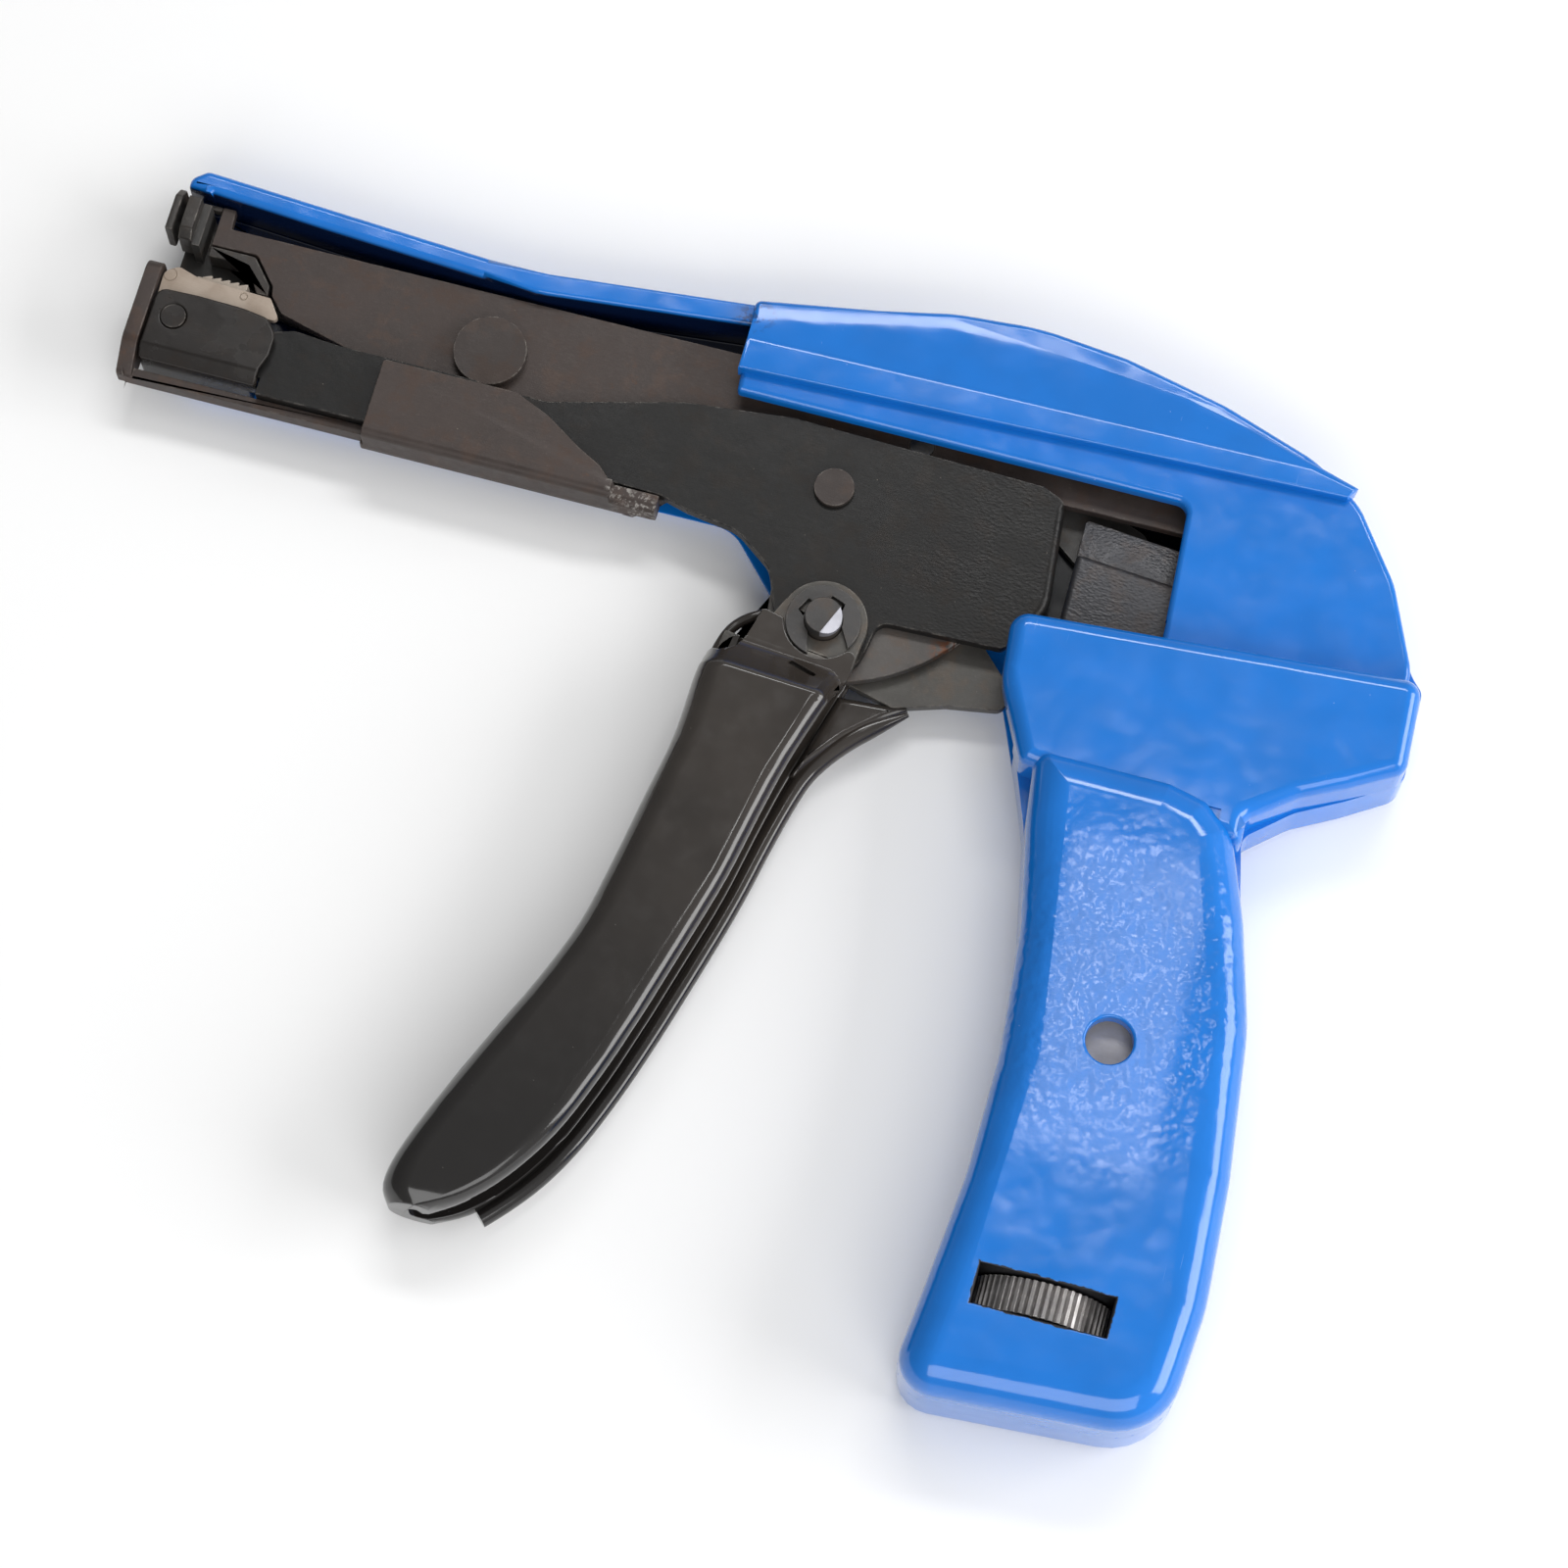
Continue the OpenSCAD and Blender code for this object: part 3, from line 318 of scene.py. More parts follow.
def enamel(name):
    """Glossy blue enamel with orange peel, strongest on the grip"""
    n = Net(name, rough=0.16, coat=0.35, coat_rough=0.04, specular=0.5)
    base = n.noise(9 * MM, 3).over(0.35, 0.65).pick(times(PAINT, 0.96), times(PAINT, 1.04))
    fleck = n.specks(1.6 * MM, 0.05, 0.6)
    base = (fleck * 0.5).pick(base, times(PAINT, 0.4))
    lint = n.specks(2.3 * MM, 0.035, 0.56)
    base = (lint * 0.6).pick(base, (0.35, 0.5, 0.8))
    hair = n.noise(0.32 * MM, 2, 0.4, co=n.moved((1, 0.05, 1), 0.9)).over(0.72, 0.78)
    hair = hair * n.noise(6 * MM).over(0.56, 0.66)
    base = (hair * 0.25).pick(base, (0.25, 0.42, 0.8))
    # A dark, noise-broken patch painted into the corner at the rim's right end
    corner = n.near(X(-53), Y(352), 2.2 * MM, 0.6) * n.noise(0.8 * MM, 4).over(0.5, 0.6)
    base = (corner * 0.6).pick(base, (0.01, 0.012, 0.03))
    # Painted shade: the inside wall of the barrel's rim and what lies below it are darkened to
    # dark navy
    x, y = n.axis(0), n.axis(1)
    rim_line = abs(x - X(-225)) * 0.08 + Y(341)
    rim_painted_shade = (rim_line - y).over(0, 0.2 * MM) * n.under(7.7 * MM, 8.25 * MM)
    rim_painted_shade = rim_painted_shade * x.over(X(-47), X(-43), 1.0, 0.0) * y.over(Y(235), Y(245))
    base = rim_painted_shade.pick(base, (0.003, 0.010, 0.040))
    # Painted shade, near black, on what shows of the inside through the window
    window_painted_shade = n.field(190, 324, 150, 302) * n.under(8.1 * MM, 8.4 * MM)
    base = window_painted_shade.pick(base, (0.006, 0.007, 0.010))
    # Bare ragged rim round the wheel's window, with a thin dark line at its edge
    beyond = (abs(x - SX) - WINDOW_W / 2).most(abs(y - WHEEL_Y) - WINDOW_H / 2)
    line = beyond + n.noise(1.2 * MM, 3, 0.6) * 0.5 * MM
    base = line.over(0.25 * MM, 0.4 * MM, 1.0, 0.0).pick(base, (0.008, 0.010, 0.02))
    ragged = beyond + n.noise(1.6 * MM, 4, 0.7) * 0.9 * MM
    bare = ragged.over(0.62 * MM, 0.72 * MM, 1.0, 0.0)
    n.set(color=bare.pick(base, (0.006, 0.006, 0.008)))
    n.set(rough=n.noise(5 * MM, 4).over(0.3, 0.7, 0.10, 0.17) + bare * 0.4)
    n.set(coat=(1 - bare) * 0.35)
    middle = n.near(X(322), Y(-90), 17 * MM, 0.55)
    dimple = n.noise(1.5 * MM, 2.0, 0.4) * 0.6 + n.cells(1.1 * MM, feature="SMOOTH_F1") * 0.5
    n.bump(dimple * (middle * 0.95 + 0.03), 0.22 * MM)
    n.bump(n.noise(5 * MM, 1.0), 0.10 * MM)
    return n.mat


def oxide(name, tone, rough=(0.36, 0.5), metal=0.3, grain=0.5, edge=0.3, rust=0.0, leather=0.0,
          leather_from=-600, streaks=0.4, mottle=0.2, glint_and_dust_amount=0.35, specular=0.35, marks=None):
    """Oxide-blacked steel: mottled, with fine pits, rubbed edges and a little rust"""
    n = Net(name, metal=metal, specular=specular)
    patch = n.noise(8 * MM, 5, 0.6).over(0.3, 0.7)
    fine = n.noise(0.45 * MM, 3, 0.7)
    color = patch.pick(times(tone, 1 - mottle), times(tone, 1 + mottle))
    warm = (tone[0] * 1.25, tone[1] * 1.02, tone[2] * 0.86)
    color = (n.noise(3.2 * MM, 4, 0.6).over(0.48, 0.66) * 0.6).pick(color, warm)
    color = (fine.over(0.56, 0.8) * 0.16).pick(color, times(tone, 3))
    if rust:
        blots = n.noise(2.0 * MM, 5, 0.7).over(0.60, 0.70) * n.noise(13 * MM, 2).over(0.5, 0.6)
        color = (blots * rust).pick(color, RUST)
    # Light specks: dust, and painted glints
    dust_and_glint_specks = n.specks(1.5 * MM, 0.045, 0.52)
    color = (dust_and_glint_specks * glint_and_dust_amount).pick(color, DUST_AND_GLINT_TONE)
    pit = n.specks(2.1 * MM, 0.07, 0.56)
    color = (pit * 0.5).pick(color, times(tone, 0.35))
    shine = n.worn() * edge
    color = shine.pick(color, RUBBED)
    if marks:
        color, shine = marks(n, color, shine)
    n.set(color=color, metal=shine.over(0, 1, metal, 0.85))
    streak = n.noise(1.2 * MM, 4, 0.6, co=n.moved((1, 9, 1), math.radians(-4)))
    gloss = (patch * (1 - streaks) + streak * streaks).over(0.3, 0.7, rough[0], rough[1])
    n.set(rough=gloss)
    n.bump(fine * grain + streak * 0.3, 0.02 * MM)
    n.bump(n.noise(3.5 * MM, 2), 0.04 * MM)
    if leather:
        skin = n.moved((1, 1.8, 1), math.radians(28))
        wrinkle = n.cells(0.55 * MM, co=skin, feature="SMOOTH_F1")
        wrinkle = wrinkle + n.noise(0.4 * MM, 2, co=skin) * 0.7
        here = n.axis(0).over(X(leather_from), X(leather_from + 110))
        n.bump(wrinkle * here, 0.04 * MM * leather)
    return n.mat


def wrap_marks(n, color, shine):
    """Bright chips where the wrap's folded end is torn"""
    chips = n.noise(0.6 * MM, 4, 0.7).over(0.5, 0.6)
    tear = n.near(X(-113), Y(196), 1.5 * MM, 0.4).most(n.near(X(-96), Y(189), 1.7 * MM, 0.4))
    tear = tear.most(n.near(X(-86), Y(185), 1.2 * MM, 0.4)) * chips * 0.6
    color = tear.pick(color, (0.40, 0.38, 0.355))
    return color, (tear * 0.5).most(shine)


def lug_marks(n, color, shine):
    """A rust patch on the lug plate and the bare spot beside it"""
    rust = n.near(X(151), Y(143), 2.0 * MM, 0.6) * n.noise(0.8 * MM, 4, 0.7).over(0.42, 0.56)
    color = (rust * 0.85).pick(color, (0.17, 0.06, 0.025))
    bare = n.near(X(161), Y(149), 1.5 * MM, 0.5) * n.noise(0.7 * MM, 4, 0.7).over(0.46, 0.56)
    color = bare.pick(color, (0.75, 0.72, 0.68))
    return color, bare.most(shine)


def pin_marks(n, color, shine):
    """The bare facet ground on the end of the trigger pin"""
    out = (n.axis(0) - PIN_AT[0]) * FACET[0] + (n.axis(1) - PIN_AT[1]) * FACET[1]
    ground = out.over(0.41 * PIN_R, 0.44 * PIN_R)
    ground = ground * n.axis(2).over(PIN_TOP - 1.5 * MM, PIN_TOP - 1.4 * MM)
    return ground.pick(color, (0.30, 0.30, 0.33)), shine


# Places in shares and radii in millimetres
PAWL_RINGS = [(-482, 274, 0.82), (-424, 271, 0.45)]


def pawl_marks(n, color):
    """Punched rings near both ends of the pawl"""
    for x, y, r in PAWL_RINGS:
        ring = abs(n.away(X(x), Y(y)) - r * MM).over(0.04 * MM, 0.11 * MM, 1.0, 0.0)
        color = (ring * 0.55).pick(color, (0.22, 0.17, 0.12))
        n.bump(1 - ring, 0.05 * MM)
    return color


def vinyl(name):
    """Dipped black vinyl: glossy, uneven, darker towards its lower end, with a little dust"""
    n = Net(name, rough=0.14, specular=0.5, coat=0.3, coat_rough=0.05)
    haze = n.noise(14 * MM, 3).over(0.3, 0.7)
    tone = haze.pick((0.027, 0.0225, 0.0192), (0.042, 0.035, 0.030))
    low = n.axis(1).over(Y(-330), Y(60))
    tone = low.pick((0.012, 0.0108, 0.0102), tone)
    tone = (n.specks(1.4 * MM, 0.04, 0.56) * 0.5).pick(tone, (0.3, 0.28, 0.26))
    n.set(color=tone, rough=n.noise(3 * MM, 5, 0.6).over(0.3, 0.75, 0.10, 0.2))
    n.bump(n.noise(7 * MM, 2), 0.10 * MM)
    n.bump(n.noise(0.9 * MM, 2), 0.003 * MM)
    return n.mat


def steel(name, color, rough=(0.3, 0.45), stain=0.3, edge=0.3, metal=1.0, marks=None):
    """Bare steel with drawn grain and stains"""
    n = Net(name, metal=metal)
    streak = n.noise(0.9 * MM, 5, 0.6, co=n.moved((1, 14, 1)))
    patch = n.noise(4 * MM, 5, 0.6).over(0.35, 0.7)
    c = (patch * stain).pick(color, (color[0] * 0.62, color[1] * 0.54, color[2] * 0.46))
    c = (streak.over(0.35, 0.75) * 0.3).pick(c, times(color, 1.3))
    c = (n.specks(1.3 * MM, 0.05, 0.56) * 0.6).pick(c, times(color, 0.2))
    if edge:
        c = (n.worn(0.25 * MM) * edge).pick(c, (0.8, 0.77, 0.73))
    if marks:
        c = marks(n, c)
    n.set(color=c, rough=(streak * 0.6 + patch * 0.4).over(0.3, 0.75, rough[0], rough[1]))
    n.bump(streak + n.noise(0.35 * MM, 2) * 0.3, 0.012 * MM)
    return n.mat


# outlines and meshes


def flat_points(table):
    """Corners in metres, each with its radius"""
    return [(Vector((X(p[0]), Y(p[1]))), p[2] * MIL) for p in table]


def moved_in(pts, d):
    """Corners moved inwards by d, radii kept parallel"""
    out = []
    n = len(pts)
    for i, (b, r) in enumerate(pts):
        a, c = pts[i - 1][0], pts[(i + 1) % n][0]
        u, v = (b - a).normalized(), (c - b).normalized()
        p, q = Vector((-u.y, u.x)), Vector((-v.y, v.x))
        m = (p + q).normalized()
        turn = u.x * v.y - u.y * v.x
        out.append((b + m * d / m.dot(p), max(r - d if turn > 0 else r + d, 0.05 * MM)))
    return out


def rounded(pts, steps=8):
    """Points round the outline, steps + 1 on each corner"""
    out = []
    n = len(pts)
    for i, (b, r) in enumerate(pts):
        a, c = pts[i - 1][0], pts[(i + 1) % n][0]
        u, v = (a - b).normalized(), (c - b).normalized()
        half = math.acos(max(-1, min(1, u.dot(v)))) / 2
        reach = min((a - b).length, (c - b).length) * 0.48
        r = min(r, reach * math.tan(half))
        m = b + (u + v).normalized() * r / math.sin(half)
        p = b + u * r / math.tan(half) - m
        q = b + v * r / math.tan(half) - m
        s, e = math.atan2(p.y, p.x), math.atan2(q.y, q.x)
        w = (e - s + math.pi) % (2 * math.pi) - math.pi
        out += [m + r * Vector((math.cos(s + w * k / steps), math.sin(s + w * k / steps)))
                for k in range(steps + 1)]
    return out


def spots(table):
    return [(X(x), Y(y)) for x, y in table]


def new_object(name, bm, smooth=32):
    bmesh.ops.recalc_face_normals(bm, faces=bm.faces)
    me = bpy.data.meshes.new(name)
    bm.to_mesh(me)
    bm.free()
    ob = bpy.data.objects.new(name, me)
    bpy.context.scene.collection.objects.link(ob)
    shade(ob, smooth)
    return ob


def shade(ob, angle=32):
    """Smooth faces, with sharp edges where two faces meet at more than the angle"""
    bm = bmesh.new()
    bm.from_mesh(ob.data)
    for f in bm.faces:
        f.smooth = True
    for e in bm.edges:
        e.smooth = len(e.link_faces) == 2 and e.calc_face_angle(0) < math.radians(angle)
    bm.to_mesh(ob.data)
    bm.free()


def loft(rings):
    """Closed skin over loops of points"""
    bm = bmesh.new()
    loops = []
    for ring in rings:
        vs = [bm.verts.new(p) for p in ring]
        loops.append([bm.edges.new(pair) for pair in zip(vs, vs[1:] + vs[:1])])
    for a, b in zip(loops, loops[1:]):
        bmesh.ops.bridge_loops(bm, edges=a + b)
    for end in (loops[0], loops[-1]):
        bmesh.ops.contextual_create(bm, geom=end)
    bmesh.ops.recalc_face_normals(bm, faces=bm.faces)
    return bm


def slab(table, z0, z1, low=0.0, high=0.0, steps=8, cuts=6, sink=1.0):
    """Slab with rounded lower and upper edges; sink stretches the upper round inwards"""
    pts = flat_points(table)
    rings = []

    def ring(d, z):
        rings.append([(p.x, p.y, z) for p in rounded(moved_in(pts, d), steps)])

    for k in range(cuts if low else 0):
        a = math.pi / 2 * k / cuts
        ring(low * (1 - math.sin(a)), z0 + low * (1 - math.cos(a)))
    ring(0, z0 + low)
    ring(0, z1 - high)
    for k in range(1, cuts + 1 if high else 0):
        a = math.pi / 2 * k / cuts
        ring(high * sink * (1 - math.cos(a)), z1 - high * (1 - math.sin(a)))
    return loft(rings)


def prism(points, z0, z1):
    """Upright block over a flat outline"""
    bm = bmesh.new()
    face = bm.faces.new([bm.verts.new((p[0], p[1], z0)) for p in points])
    out = bmesh.ops.extrude_face_region(bm, geom=[face])
    top = [g for g in out["geom"] if isinstance(g, bmesh.types.BMVert)]
    bmesh.ops.translate(bm, vec=(0, 0, z1 - z0), verts=top)
    bmesh.ops.recalc_face_normals(bm, faces=bm.faces)
    return bm


def rod(a, b, r, sides=48):
    """Cylinder from point a to point b"""
    a, b = Vector(a), Vector(b)
    bm = bmesh.new()
    bmesh.ops.create_cone(bm, cap_ends=True, segments=sides, radius1=r, radius2=r,
                          depth=(b - a).length)
    m = (b - a).to_track_quat("Z", "Y").to_matrix().to_4x4()
    m.translation = (a + b) / 2
    bmesh.ops.transform(bm, matrix=m, verts=bm.verts)
    return bm


def block(a, b):
    """Box between two opposite corners"""
    a, b = Vector(a), Vector(b)
    bm = bmesh.new()
    bmesh.ops.create_cube(bm, size=1)
    bmesh.ops.scale(bm, vec=b - a, verts=bm.verts)
    bmesh.ops.translate(bm, vec=(a + b) / 2, verts=bm.verts)
    return bm


def hull(points):
    """Closed convex skin round the points"""
    bm = bmesh.new()
    vs = [bm.verts.new(p) for p in points]
    out = bmesh.ops.convex_hull(bm, input=vs)
    spare = {g for g in out["geom_interior"] + out["geom_unused"]
             if isinstance(g, bmesh.types.BMVert)}
    bmesh.ops.delete(bm, geom=list(spare), context="VERTS")
    bmesh.ops.dissolve_limit(bm, angle_limit=math.radians(0.4), verts=bm.verts, edges=bm.edges)
    return bm


def bead(name, points, r):
    """Round bead along points in shares and millimetres, its first end drawn thin"""
    curve = bpy.data.curves.new(name, "CURVE")
    curve.dimensions = "3D"
    curve.bevel_depth = r
    curve.bevel_resolution = 6
    curve.use_fill_caps = True
    line = curve.splines.new("NURBS")
    line.points.add(len(points) - 1)
    for p, (x, y, z) in zip(line.points, points):
        p.co = (X(x), Y(y), z * MM, 1)
    line.points[0].radius = 0.25
    line.use_endpoint_u = True
    line.order_u = 3
    line.resolution_u = 8
    ob = bpy.data.objects.new(name, curve)
    bpy.context.scene.collection.objects.link(ob)
    bpy.context.view_layer.update()
    me = bpy.data.meshes.new_from_object(ob.evaluated_get(bpy.context.evaluated_depsgraph_get()))
    bpy.data.objects.remove(ob)
    bm = bmesh.new()
    bm.from_mesh(me)
    bmesh.ops.remove_doubles(bm, verts=bm.verts, dist=0.001 * MM)
    return new_object(name, bm)


def baked(ob):
    """Applies the modifiers"""
    bpy.context.view_layer.update()
    dg = bpy.context.evaluated_depsgraph_get()
    me = bpy.data.meshes.new_from_object(ob.evaluated_get(dg))
    ob.modifiers.clear()
    ob.data = me
    return ob


def join(ob, tool, op="DIFFERENCE"):
    """Boolean of an object with another one, which is used up"""
    mod = ob.modifiers.new("cut", "BOOLEAN")
    mod.operation = op
    mod.solver = "EXACT"
    mod.object = tool
    baked(ob)
    bpy.data.objects.remove(tool)


def combine(ob, others, op="DIFFERENCE"):
    """Booleans of an object with a row of meshes"""
    for bm in others:
        join(ob, new_object("tool", bm), op)


def round_edges(bm, width, segments=2, angle=35, where=None):
    """Rounds the sharp edges that the test picks"""
    picked = [e for e in bm.edges if len(e.link_faces) == 2
              and e.calc_face_angle(0) > math.radians(angle) and (where is None or where(e))]
    if picked:
        bmesh.ops.bevel(bm, geom=picked, offset=width, offset_type="OFFSET", segments=segments,
                        profile=0.5, affect="EDGES", material=-1)


def tidy(bm):
    """Merges near corners and takes out edges inside flat faces"""
    bmesh.ops.remove_doubles(bm, verts=bm.verts, dist=0.004 * MM)
    bmesh.ops.dissolve_limit(bm, angle_limit=math.radians(0.5), verts=bm.verts, edges=bm.edges)


def within(x0, x1, y0, y1, z0, z1):
    """Test for edges that lie in a box, given in shares and millimetres"""

    def test(e):
        return all(X(x0) <= v.co.x <= X(x1) and Y(y0) <= v.co.y <= Y(y1)
                   and (z0 - 0.01) * MM <= v.co.z <= (z1 + 0.01) * MM for v in e.verts)

    return test


def finish(ob, rounds, angle=32):
    """Rounds edges of a finished solid, then sets its normals by face area"""
    bm = bmesh.new()
    bm.from_mesh(ob.data)
    tidy(bm)
    for r in rounds:
        round_edges(bm, *r)
    bmesh.ops.recalc_face_normals(bm, faces=bm.faces)
    bm.to_mesh(ob.data)
    bm.free()
    shade(ob, angle)
    mod = ob.modifiers.new("normals", "WEIGHTED_NORMAL")
    mod.keep_sharp = True
    return baked(ob)


def place(ob, body, mat, *replaced, slot):
    """Gives a finished piece its look and its body, and hides the node it stands for; its slot is
    not used
    """
    ob.data.materials.clear()
    ob.data.materials.append(mat)
    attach(ob, body)
    if replaced:
        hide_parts(*replaced)


def dress(node, mat, slot, *rounds):
    """A copy of a CAD node with its edges broken, in the node's place"""
    bm = bmesh.new()
    bm.from_mesh(NODES[node].data)
    bmesh.ops.remove_doubles(bm, verts=bm.verts, dist=0.001 * MM)
    ob = new_object(node + "_finish", bm)
    finish(ob, rounds)
    # A bevel may run past a sharp corner, so it is kept inside the node's own box
    raw = [v.co for v in NODES[node].data.vertices]
    box = [(min(c[k] for c in raw), max(c[k] for c in raw)) for k in range(3)]
    for v in ob.data.vertices:
        v.co = [min(max(v.co[k], box[k][0]), box[k][1]) for k in range(3)]
    place(ob, NODES[node]["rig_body"], mat, node, slot=slot)


# housing

# Heights of the stack
FLOOR = 1.6 * MM
SPLIT = 8.5 * MM
EAR_TOP = 9.5 * MM
HOOD_TOP = 10.2 * MM
BAND_TOP = 11.7 * MM
COLLAR_TOP = 15 * MM
GRIP_TOP = 17 * MM
# Wall of the far shell, spring cavity, sight hole, slot for the wheel
WALL = 2.8 * MM
CAVITY_W = 12 * MM
SIGHT_D = 5.6 * MM
WINDOW_W, WINDOW_H = 15.9 * MM, 4.7 * MM
WHEEL_ROOM_D = 17.4 * MM
SCREW_ROOM_D, SCREW_ROOM_H = 4.4 * MM, 1.4 * MM

CROWN = [
    [478, 207, 40], [451, 270, 60], [413, 323, 50], [374, 349, 80], [301, 374, 150],
    [222, 392, 150], [153, 399, 200], [90, 394, 150], [36, 382, 150],
]
BARREL = [[-55, 366, 60], [-212, 350, 60], [-258, 351, 60], [-375, 358, 80]]
BODY = (
    [[-444, 200, 12], [-30, 203, 30], [20, 150, 20], [60, 121, 30], [200, 120, 5], [476, 120, 10]]
    + CROWN + BARREL + [[-490, 366, 8], [-480, 215, 10]]
)
FAR = (
    [[-444, 200, 12], [-30, 203, 30], [20, 150, 20], [60, 121, 30], [197, 120, 6], [222, 60, 14],
     [237, 20, 80], [253, -60, 200], [261, -150, 200], [260, -240, 200], [251, -330, 150],
     [243, -399, 26], [435, -386, 48], [443, -290, 150], [438, -200, 200], [425, -90, 200],
     [404, -15, 100], [388, 55, 12], [420, 83, 40], [453, 101, 60], [491, 125, 14],
     [489, 196, 10]]
    + CROWN + BARREL + [[-481, 365, 8], [-492, 356, 8], [-480, 215, 10]]
)
COLLAR = [
    [222, 60, 8], [389, 38, 6], [388, 60, 10], [420, 85, 40], [453, 102, 60], [490, 123, 13],
    [487, 193, 13], [189, 170, 14], [194, 118, 60],
]
GRIP = [
    [243, -399, 26], [435, -386, 48], [443, -290, 150], [438, -200, 200], [425, -90, 200],
    [404, -15, 100], [381, 47, 20], [360, 66, 24], [330, 73, 12], [230, 73, 12], [237, 20, 80],
    [253, -60, 200], [261, -150, 200], [260, -240, 200], [251, -330, 150],
]
HOOD = [[-50, 292, 3], [292, 291, 9], [300, 150, 4], [476, 150, 4]] + CROWN + [[-56, 366, 6]]
CREASE = [[-53, 306], [403, 322], [408, 330], [373, 338], [-52, 331]]
SLOPE = [
    [-54, 361], [36, 378], [90, 389], [153, 394], [222, 387], [301, 369], [374, 344], [406, 326],
]
CAVITY_Y = [Y(-291), Y(152)]
POCKET = [[160, 76], [298, 76], [298, 200], [160, 200]]
CREASE_CORNER = [[358, 58], [380, 42], [388, 54], [370, 74]]
LINK_COVER = [[222, 171, 3], [312, 171, 4], [312, 262, 8], [300, 265, 6], [222, 272, 3]]
LINK_ROLL = [[222, 171, 3], [312, 171, 3], [312, 236, 3], [222, 243, 3]]
SCREWS = [[20, 357], [345, 333], [455, 160], [282, -358], [402, -350]]
SX, WHEEL_Y, SIGHT_Y = X(333), Y(-317), Y(-128)


def wheel_room():
    """Round room of the tension wheel"""
    h = WINDOW_H / 2
    return rod((SX, WHEEL_Y - h, SPLIT), (SX, WHEEL_Y + h, SPLIT), WHEEL_ROOM_D / 2, 64)


def far_shell(mat):
    ob = new_object("far_shell", slab(FAR, 0, SPLIT, low=2 * MM, steps=6, cuts=5))
    room = [(p.x, p.y) for p in rounded(moved_in(flat_points(BODY), WALL), 6)]
    front = spots([[-520, 60], [205, 60], [205, 76], [298, 76], [298, 300], [205, 300],
                   [-400, 331], [-448, 335], [-452, 346], [-520, 350]])
    heel = spots([[420, 60], [520, 60], [520, 215], [420, 215]])
    top = SPLIT + MM
    cutter = new_object("cutter", prism(room, FLOOR, top))
    combine(cutter, [prism(front, FLOOR, top)], "UNION")
    combine(cutter, [prism(heel, 0, top + MM)])
    join(ob, cutter)
    w, h, c = WINDOW_W / 2, WINDOW_H / 2, CAVITY_W / 2
    combine(ob, [
        block((SX - c, CAVITY_Y[0], 2 * MM), (SX + c, CAVITY_Y[1], top)),
        block((SX - w, WHEEL_Y - h, -MM), (SX + w, WHEEL_Y + h, top)),
        wheel_room(),
    ])
    for x, y in SCREWS:
        combine(ob, [rod((X(x), Y(y), -MM), (X(x), Y(y), SCREW_ROOM_H), SCREW_ROOM_D / 2)])
    finish(ob, [
        (0.9 * MM, 5, 45, within(-520, -257, 300, 380, 8.5, 8.5)),
        (0.5 * MM, 3, 45, within(-262, -40, 300, 380, 8.5, 8.5)),
        (0.2 * MM, 2, 45, within(-520, 520, -450, 450, -1, 8.4)),
    ])
    place(ob, "body", mat, "right_housing", slot="blue_enamel")


def near_shell(mat):
    ob = new_object("near_shell", slab(GRIP, SPLIT, GRIP_TOP, high=4.4 * MM, steps=8, cuts=9,
                                       sink=1.05))
    combine(ob, [slab(COLLAR, SPLIT, COLLAR_TOP, high=2 * MM, steps=8, cuts=6)], "UNION")
    combine(ob, [slab(HOOD, SPLIT, HOOD_TOP, high=0.8 * MM, steps=8, cuts=4)], "UNION")
    skirt, foot = 9.5 * MM, 9.2 * MM
    band = hull(
        [(X(x), Y(y), BAND_TOP) for x, y in CREASE] + [(X(x), Y(y), foot) for x, y in CREASE]
        + [(X(x), Y(y), z) for x, y in SLOPE for z in (foot, skirt)]
    )
    combine(ob, [band], "UNION")
    w, h, c = WINDOW_W / 2, WINDOW_H / 2, CAVITY_W / 2
    combine(ob, [
        prism(spots(POCKET), 0, 11 * MM),
        block((SX - c, CAVITY_Y[0], 0), (SX + c, Y(60), 15 * MM)),
        block((SX - c, 0, 0), (SX + c, CAVITY_Y[1], 11 * MM)),
        block((SX - w, WHEEL_Y - h, 0), (SX + w, WHEEL_Y + h, 18 * MM)),
        wheel_room(),
        rod((SX, SIGHT_Y, SPLIT), (SX, SIGHT_Y, 18 * MM), SIGHT_D / 2, 64),
    ])
    finish(ob, [
        (0.35 * MM, 3, 8, within(-60, 420, 295, 400, 10.3, 11.7)),
        (0.3 * MM, 3, 45, within(240, 420, -350, -280, 16.9, 17)),
        (0.35 * MM, 3, 45, within(300, 360, -150, -100, 16.9, 17)),
        (0.35 * MM, 3, 45, within(160, 299, 165, 205, 10.9, 15)),
    ])
    place(ob, "body", mat, "left_housing", slot="blue_enamel")
    corner = prism(spots(CREASE_CORNER), 11 * MM, 14.7 * MM)
    place(new_object("grip_corner", corner), "body", mat, slot="blue_enamel")


# trigger

# Sections of the grip from its top to its end: x and y of the left and the right side, then how
# far the near side has risen from the ear and how far the far side has dropped, from 0 to 1
STATIONS = [
    [-15, 118, 87, 106, 0.0, 0.25], [-16, 109, 86, 100, 0.01, 0.3],
    [-17, 104, 85, 96, 0.05, 0.36], [-18, 91, 82, 84, 0.5, 0.5], [-19, 79, 79, 73, 0.94, 0.65],
    [-20, 74, 78, 69, 1.0, 0.72], [-21, 62, 75, 60, 1, 0.82], [-23, 18, 63, 21, 1, 1],
    [-31, -30, 53, -24, 1, 1], [-40, -84, 43, -75, 1, 1], [-50, -133, 28, -131, 1, 1],
    [-68, -182, 12, -188, 1, 1], [-90, -231, -4, -238, 1, 1], [-111, -281, -23, -285, 1, 1],
    [-127, -324, -47, -322, 0.9, 0.9], [-131, -348, -71, -346, 0.7, 0.5],
    [-125, -360, -93, -359, 0.4, 0],
]
